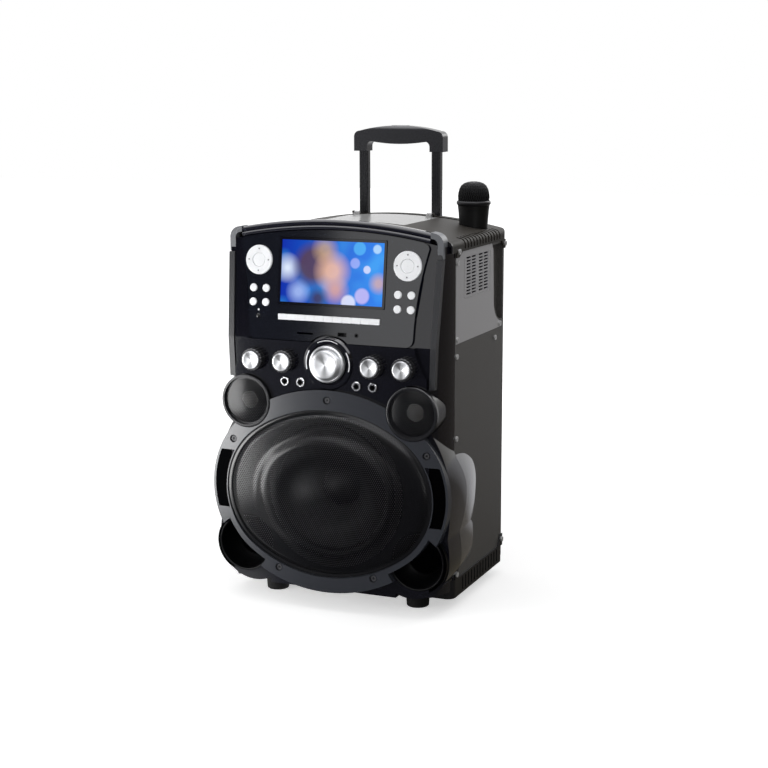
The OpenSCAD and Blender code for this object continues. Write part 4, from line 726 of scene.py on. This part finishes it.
def fluted_skirt(centre, radius, height, flutes, depth):
    """A skirt with rounded flutes, closed by a chamfered face."""
    steps = flutes * 8
    rows = ((0.0, 0.0), (0.0, height - 0.0012), (0.0012, height), (radius * 0.45, height))
    verts = []
    for inset, level in rows:
        for a in circle(steps):
            wave = max(0.0, math.cos(flutes * a)) ** 2
            r = radius - inset - depth * wave * (1.0 if inset < radius * 0.2 else 0.0)
            verts.append(centre + spoke(r, a, -level))
    return verts, ring_faces(len(rows), steps)


class KARAOKE_OT_knobs(bpy.types.Operator):
    """Four fluted knobs with spun caps, and the stepped knob in the middle"""

    bl_idname = "karaoke.knobs"
    bl_label = "Knobs"

    def execute(self, context):
        look = context.scene.karaoke_finishes
        skirt_black = finish("knob_skirt", (0.012, 0.012, 0.014), 0.3)[0]
        for i in range(1, 5):
            centre = Vector(JOINTS[f"knob_{i}_turn"]["pos_m"]) + KNOB_LIFT
            spun = spun_painted_sheen_material(f"spun_{i}", look.silver, centre)
            skirt = new_piece(f"knob_{i}_skirt", *fluted_skirt(centre, 0.016, 0.012, 18, 0.0009), skirt_black,
                              body=f"knob_{i}_body", slot="knob")
            outward(skirt)
            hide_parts(f"knob_{i}")
            r, top = 0.0128, 0.0149
            profile = [(r, 0.0115), (r, top - 0.0016)]
            profile += rounding(r - 0.0012, top - 0.0012, 0.0012, (15, 35, 55, 75, 90))
            profile += [(r - 0.0028, top - 0.0001), (r - 0.0034, top - 0.0004), (0.0, top - 0.0005)]
            outward(new_piece(f"knob_{i}_cap", *turned(profile, centre, 72), spun, body=f"knob_{i}_body",
                              slot="knob", smooth=True))
        centre = Vector(JOINTS["jog_knob_turn"]["pos_m"]) + KNOB_LIFT
        spun = spun_painted_sheen_material("spun_jog", look.silver, centre)
        r, top = 0.026, 0.0149
        step = top * 0.6
        profile = [(0.006, 0.0), (r, 0.0), (r, step - 0.0025)]
        profile += rounding(r - 0.0025, step - 0.0025, 0.0025, (20, 40, 60, 80))
        profile += [(r - 0.0044, step - 0.0003), (r - 0.0046, step - 0.0014), (r - 0.0054, step - 0.0014)]
        profile += rounding(r - 0.0084, top - 0.003, 0.003, (5, 25, 45, 65, 88))
        profile += [(0.0125, top - 0.0008), (0.007, top - 0.0016), (0.0, top - 0.0019)]
        jog = new_piece("jog_dial", *turned(profile, centre, 96), spun, body="jog_knob_body", slot="jog",
                        smooth=True)
        outward(jog)
        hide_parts("jog_knob")
        return {"FINISHED"}


def arc_strip(centre, radius, width, start, stop, depth=0.00025, steps=24):
    """A thin raised arc on the knob panel, between two angles in degrees."""
    verts, faces = [], []
    for k in range(steps + 1):
        a = math.radians(start + (stop - start) * k / steps)
        for r in (radius, radius + width):
            for y in (0.0, -depth):
                verts.append(centre + spoke(r, a, y))
    for k in range(steps):
        o = 4 * k
        for p, q in ((0, 1), (1, 3), (3, 2), (2, 0)):
            faces.append((o + p, o + q, o + 4 + q, o + 4 + p))
    faces += [(0, 2, 3, 1), (4 * steps, 4 * steps + 1, 4 * steps + 3, 4 * steps + 2)]
    return verts, faces


def on_panel(point, x, z, lift=0.0):
    """A point given as (across, -out, up), at the place x, z of the leaning control panel."""
    out = -point.y + lift
    c, s = math.cos(PANEL_LEAN), math.sin(PANEL_LEAN)
    y = PANEL_FOOT.y + (z - PANEL_FOOT.z) * math.tan(PANEL_LEAN)
    return Vector((x + point.x, y - out * c + point.z * s, z + point.z * c + out * s))


def hex_washer(inner, outer, height, steps=24):
    """A round head with a chamfered rim and a hexagonal opening, facing the front."""
    verts = []
    for level, is_round in ((0.0, True), (height, True), (height, False), (0.0, False)):
        for a in circle(steps):
            flat = math.pi / 6 - a % (math.pi / 3)
            r = outer - (0.0004 if level else 0.0) if is_round else inner / math.cos(flat)
            verts.append(spoke(r, a, -level))
    return verts, ring_faces(4, steps, closed=True)


class KARAOKE_OT_marks(bpy.types.Operator):
    """White arcs round the middle knob, and dark marks on the direction pads"""

    bl_idname = "karaoke.marks"
    bl_label = "Printed marks"

    def execute(self, context):
        white = finish("print_white", (0.8, 0.8, 0.82), 0.4)[0]
        ink = finish("print_dark", (0.12, 0.12, 0.13), 0.5)[0]
        glass = finish("eye_glass", (0.002, 0.002, 0.002), 0.05)[0]
        steel = finish("socket_head", (0.07, 0.07, 0.075), 0.3, metallic=0.3)[0]
        centre = Vector((0.0, KNOB_PANEL_Y - ARC_LIFT, KNOB_Z))
        arcs = joined(arc_strip(centre, ARC_R, width, start, stop) for start, stop, width in ARCS)
        outward(new_piece("dial_arcs", *arcs, white, slot="button"))
        # Lamp and remote eye in the panel's holes
        for name, z, radius, rise, material in (("panel_lamp", LAMP_Z, 0.0015, 0.0004, white),
                                                ("remote_eye", EYE_Z, 0.0034, 0.0010, glass)):
            profile = [(0.0, -0.003), (radius, -0.003), (radius, 0.0)]
            profile += [(radius * math.cos(a), rise * math.sin(a)) for a in (0.4, 0.8, 1.2)] + [(0.0, rise)]
            verts, faces = turned(profile, Vector(), 24)
            outward(new_piece(name, [on_panel(v, EYE_X, z) for v in verts], faces, material, slot="button"))
        # Four marks on each direction pad
        profile = [(0.0, -0.0003), (0.0009, -0.0003), (0.0009, 0.0002), (0.0, 0.0002)]
        dot, dot_faces = turned(profile, Vector(), 12)
        for side, label in ((-1, "left"), (1, "right")):
            marks = []
            for a in circle(4):
                x, z = side * DPAD_X + DPAD_MARK_R * math.cos(a), DPAD_Z + DPAD_MARK_R * math.sin(a)
                marks.append(([on_panel(v, x, z, DPAD_RISE) for v in dot], dot_faces))
            outward(new_piece(f"dpad_{label}_marks", *joined(marks), ink, slot="button"))
        # Heads with hexagonal sockets in the ring's screws
        for n, (x, z) in enumerate(RING_SCREWS):
            verts, faces = hex_washer(0.0018, 0.0040, 0.0006)
            place = [in_ring(v.x + x, v.y + RING_SCREW_SEAT + x * x / RING_BULGE, v.z + z) for v in verts]
            outward(new_piece(f"ring_screw_{n}", place, faces, steel, slot="screw"))
        return {"FINISHED"}


@made_once("Wire mesh")
def lattice_tree(name):
    """Round wires along the edges of a lattice."""
    tree, start, end = group_tree(
        name, "GeometryNodeTree",
        {"Geometry": "Geometry", "Wire radius": 0.0003, "Material": "Material"}, {"Geometry": "Geometry"})
    lines = geo(tree, "MeshToCurve", {"Mesh": start.outputs[0]})
    section = geo(tree, "CurvePrimitiveCircle", {"Resolution": 4, "Radius": start.outputs[1]})
    wires = geo(tree, "CurveToMesh", {"Curve": lines, "Profile Curve": section})
    real = geo(tree, "RealizeInstances", {"Geometry": wires})
    tree.links.new(geo(tree, "SetMaterial", {"Geometry": real, "Material": start.outputs[2]}), end.inputs[0])
    return tree


class KARAOKE_OT_microphone(bpy.types.Operator):
    """The wire head of the standing microphone, with its band and foam"""

    bl_idname = "karaoke.microphone"
    bl_label = "Microphone head"

    def execute(self, context):
        wire = finish("mic_wire", (0.012, 0.012, 0.013), 0.35, metallic=0.3, specular=0.3)[0]
        foam = finish("mic_foam", (0.006, 0.006, 0.006), 0.9, specular=0.1)[0]
        low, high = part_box("microphone_head")
        centre = Vector(((low.x + high.x) / 2, (low.y + high.y) / 2, low.z))
        outline = [(0.0222, 0.0066), (0.0228, 0.012), (0.0222, 0.018), (0.0205, 0.0235), (0.0180, 0.0280),
                   (0.0140, 0.0312), (0.0090, 0.0330), (0.0045, 0.0337)]
        inner = [(0.0, 0.001)] + [(r - 0.0008, h) for r, h in [(0.0222, 0.001)] + outline] + [(0.0, 0.0331)]
        core = new_piece("mic_foam", *turned(inner, centre, 48, "up"), foam, body="microphone", slot="mic",
                         smooth=True)
        outward(core)
        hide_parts("microphone_head")
        band = [(0.0225, 0.0), (0.0232, 0.0004), (0.0246, 0.0022), (0.0246, 0.0052), (0.0232, 0.0068),
                (0.0222, 0.0068), (0.0222, 0.0)]
        outward(new_piece("mic_band", *turned(band, centre, 64, "up"), wire, body="microphone", slot="mic",
                          smooth=True))
        turns = 44
        verts, edges = [], []
        for sign in (-1, 1):
            for k in range(turns):
                for i, (r, h) in enumerate(outline):
                    a, r = 2 * math.pi * (k + sign * i * 0.5) / turns, r - 0.0002
                    verts.append(centre + Vector((r * math.cos(a), r * math.sin(a), h)))
                    if i:
                        edges.append((len(verts) - 2, len(verts) - 1))
        mesh = bpy.data.meshes.new("mic_mesh")
        mesh.from_pydata([tuple(v) for v in verts], edges, [])
        head = placed("mic_mesh", mesh)
        modifier = head.modifiers.new("Wires", "NODES")
        modifier.node_group = lattice_tree()
        set_inputs(modifier, wire_radius=0.00028, material=wire)
        evaluated(head)
        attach(head, "microphone")
        return {"FINISHED"}


# ---------------------------------------------------------------- studio
def area_lamp(name, place, target, size, power):
    """A rectangular lamp of the studio, turned to its target."""
    data = bpy.data.lights.new(name, "AREA")
    data.shape = "RECTANGLE"
    data.size, data.size_y = size
    data.energy = power
    lamp = placed(name, data)
    lamp.location = place
    lamp.rotation_euler = (Vector(target) - Vector(place)).to_track_quat("-Z", "Y").to_euler()


# What glossy rays see round the machine: compass angle and colour, above and below the horizon
WHITE = (1.0, 1.0, 1.0)
HIGH_TONES = ((-180, WHITE), (-60, WHITE), (-12, WHITE), (4, (0.2, 0.2, 0.22)), (40, (0.10, 0.10, 0.10)),
              (110, (0.12, 0.10, 0.07)), (152, (0.15, 0.135, 0.105)), (166, WHITE), (180, WHITE))
LOW_TONES = ((-180, WHITE), (-58, WHITE), (-40, (0.8, 0.8, 0.82)), (-31, (0.2, 0.21, 0.24)),
             (-16, (0.05, 0.05, 0.06)), (30, (0.06, 0.06, 0.06)), (110, (0.10, 0.088, 0.065)),
             (150, (0.12, 0.11, 0.10)), (160, (0.5, 0.5, 0.52)), (170, WHITE))
GAP_TONE, GAP_START, GAP_STOP = (0.02, 0.02, 0.028), -46, -24.75
CEILING_TONE, CEILING_EDGE = (3.0, 3.0, 3.1), 0.45


def tone_ring(tree, turn, tones):
    """A colour by compass angle: 0 is the front, negative angles lie to the left."""
    ramp = add(tree, "ShaderNodeValToRGB", {0: turn})
    stops = ramp.color_ramp.elements
    stops[0].color, stops[1].color = (*tones[0][1], 1.0), (*tones[-1][1], 1.0)
    for angle, tone in tones[1:-1]:
        stops.new(angle / 360 + 0.5).color = (*tone, 1.0)
    return ramp.outputs[0]


def compass(tree, x, y):
    """Compass angle of a direction as a share of a full turn, with the front in the middle."""
    turn = calc(tree, "ARCTAN2", x, calc(tree, "MULTIPLY", y, -1.0))
    return calc(tree, "MULTIPLY_ADD", turn, 1 / (2 * math.pi), 0.5)


def studio_world():
    """White to the camera and to see-through rays; glossy rays see the studio."""
    world = bpy.data.worlds.new("studio")
    bpy.context.scene.world = world
    world.use_nodes = True
    tree = world.node_tree
    tree.nodes.clear()
    path = tree.nodes.new("ShaderNodeLightPath")
    camera_ray, glossy_ray, clear_ray = (
        path.outputs[f"Is {kind} Ray"] for kind in ("Camera", "Glossy", "Transmission"))
    seen = calc(tree, "ADD", calc(tree, "ADD", camera_ray, glossy_ray), clear_ray, clamp=True)
    x, y, z = split(tree, tree.nodes.new("ShaderNodeTexCoord").outputs["Generated"])
    turn = compass(tree, x, y)
    # A dark gap between the backdrop on the left and a softbox, whose edge shows in the control panel
    gap = calc(tree, "MULTIPLY", calc(tree, "GREATER_THAN", turn, 0.5 + GAP_START / 360),
               calc(tree, "LESS_THAN", turn, 0.5 + GAP_STOP / 360))
    upper = mix_color(tree, gap, tone_ring(tree, turn, HIGH_TONES), GAP_TONE)
    # A bright ceiling, seen only in edges and rolls that face halfway up
    upper = mix_color(tree, above(tree, z, CEILING_EDGE, 0.1), upper, CEILING_TONE)
    around = mix_color(tree, calc(tree, "GREATER_THAN", z, 0.0), tone_ring(tree, turn, LOW_TONES), upper)
    tone = mix_color(tree, glossy_ray, WHITE, around)
    shown = add(tree, "ShaderNodeBackground", {"Color": tone, "Strength": 1.0})
    plain = add(tree, "ShaderNodeBackground", {"Color": (*WHITE, 1.0), "Strength": 0.38})
    mixed = add(tree, "ShaderNodeMixShader", {0: seen, 1: plain.outputs[0], 2: shown.outputs[0]})
    out = tree.nodes.new("ShaderNodeOutputWorld")
    tree.links.new(mixed.outputs[0], out.inputs[0])


def floor_material(color):
    """A pale floor that shows the machine's shadow near it and turns to white further off."""
    material, tree, shader, place = finish("floor", color, 0.9, specular=0.0)
    path = tree.nodes.new("ShaderNodeLightPath")
    reach = add(tree, "ShaderNodeVectorMath", {0: place}, operation="LENGTH")
    far_off = add(tree, "ShaderNodeMapRange", {0: reach.outputs["Value"], 1: 0.35, 2: 1.0, 3: 0.5, 4: 1.0},
                  interpolation_type="SMOOTHSTEP")
    strength = calc(tree, "MULTIPLY", path.outputs["Is Camera Ray"], far_off.outputs[0])
    glow = add(tree, "ShaderNodeEmission", {"Strength": strength})
    lit = add(tree, "ShaderNodeAddShader", {0: shader.outputs[0], 1: glow.outputs[0]})
    # Glossy rays see the studio's tones instead of the floor
    x, y, _ = split(tree, place)
    mirrored = add(tree, "ShaderNodeEmission", {"Color": tone_ring(tree, compass(tree, x, y), LOW_TONES)})
    both = add(tree, "ShaderNodeMixShader",
               {0: path.outputs["Is Glossy Ray"], 1: lit.outputs[0], 2: mirrored.outputs[0]})
    tree.links.new(both.outputs[0], tree.nodes["Material Output"].inputs[0])
    return material


class KARAOKE_OT_stage(bpy.types.Operator):
    """Floor, lamps, world and the camera at the photograph's angle"""

    bl_idname = "karaoke.stage"
    bl_label = "Studio and camera"

    def execute(self, context):
        stage = context.scene.karaoke_stage
        reach = 8.0
        corners = [(x * reach, y * reach, 0) for x, y in ((-1, -1), (1, -1), (1, 1), (-1, 1))]
        floor = new_piece("floor", corners, [(0, 1, 2, 3)], floor_material(stage.floor_color), body=None)
        studio_world()
        middle = (0, 0, 0.3)
        for name, place, target, size in (
                ("key", (-1.75, -2.0, 0.75), middle, (0.7, 2.0)),
                ("strip", (-0.64, -0.68, 0.20), (-0.14, -0.13, 0.20), (0.32, 0.40)),
                ("fill", (1.5, -1.95, 0.9), middle, (0.5, 1.6)),
                ("rim", (1.0, 1.9, 1.5), middle, (1.2, 1.2)),
                ("top", (-0.2, -0.3, 2.4), middle, (1.6, 1.6))):
            area_lamp(name, place, target, size, getattr(stage, f"{name}_power"))
        data = bpy.data.cameras.new("camera")
        data.sensor_width = 36.0
        data.lens = stage.lens
        data.clip_end = 50.0
        camera = placed("camera", data)
        right = Vector((0.92073451, 0.39018239, -0.00238225))
        up = Vector((-0.0695272, 0.17006864, 0.98297641))
        forward = Vector((-0.38394523, 0.90489467, -0.18371635))
        turn = Matrix((right, up, -forward)).transposed().to_4x4()
        camera.matrix_world = Matrix.Translation((0.943860, -2.155581, 0.738652)) @ turn
        context.scene.camera = camera
        context.scene.view_settings.view_transform = "Standard"
        return {"FINISHED"}


class KARAOKE_PT_panel(bpy.types.Panel):
    """Lists the pieces that the add-on makes"""

    bl_idname = "KARAOKE_PT_panel"
    bl_label = "Karaoke machine"
    bl_space_type = "VIEW_3D"
    bl_region_type = "UI"
    bl_category = "Karaoke"

    def draw(self, context):
        for operator in OPERATORS:
            self.layout.operator(operator.bl_idname)
        for group in ("karaoke_finishes", "karaoke_grille", "karaoke_stage"):
            settings = getattr(context.scene, group)
            for name in settings.__annotations__:
                self.layout.prop(settings, name)


OPERATORS = (KARAOKE_OT_finishes, KARAOKE_OT_screen, KARAOKE_OT_grilles, KARAOKE_OT_knobs, KARAOKE_OT_marks,
             KARAOKE_OT_microphone, KARAOKE_OT_stage)
SETTINGS = {"karaoke_finishes": KaraokeFinishes, "karaoke_grille": KaraokeGrille, "karaoke_stage": KaraokeStage}


def register():
    for cls in (*SETTINGS.values(), *OPERATORS, KARAOKE_PT_panel):
        bpy.utils.register_class(cls)
    for name, cls in SETTINGS.items():
        setattr(bpy.types.Scene, name, PointerProperty(type=cls))


def unregister():
    for name in SETTINGS:
        delattr(bpy.types.Scene, name)
    for cls in reversed((*SETTINGS.values(), *OPERATORS, KARAOKE_PT_panel)):
        bpy.utils.unregister_class(cls)


def main():
    register()
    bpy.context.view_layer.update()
    for name in ("finishes", "screen", "grilles", "knobs", "marks", "microphone", "stage"):
        getattr(bpy.ops.karaoke, name)()


if __name__ == "__main__":
    main()
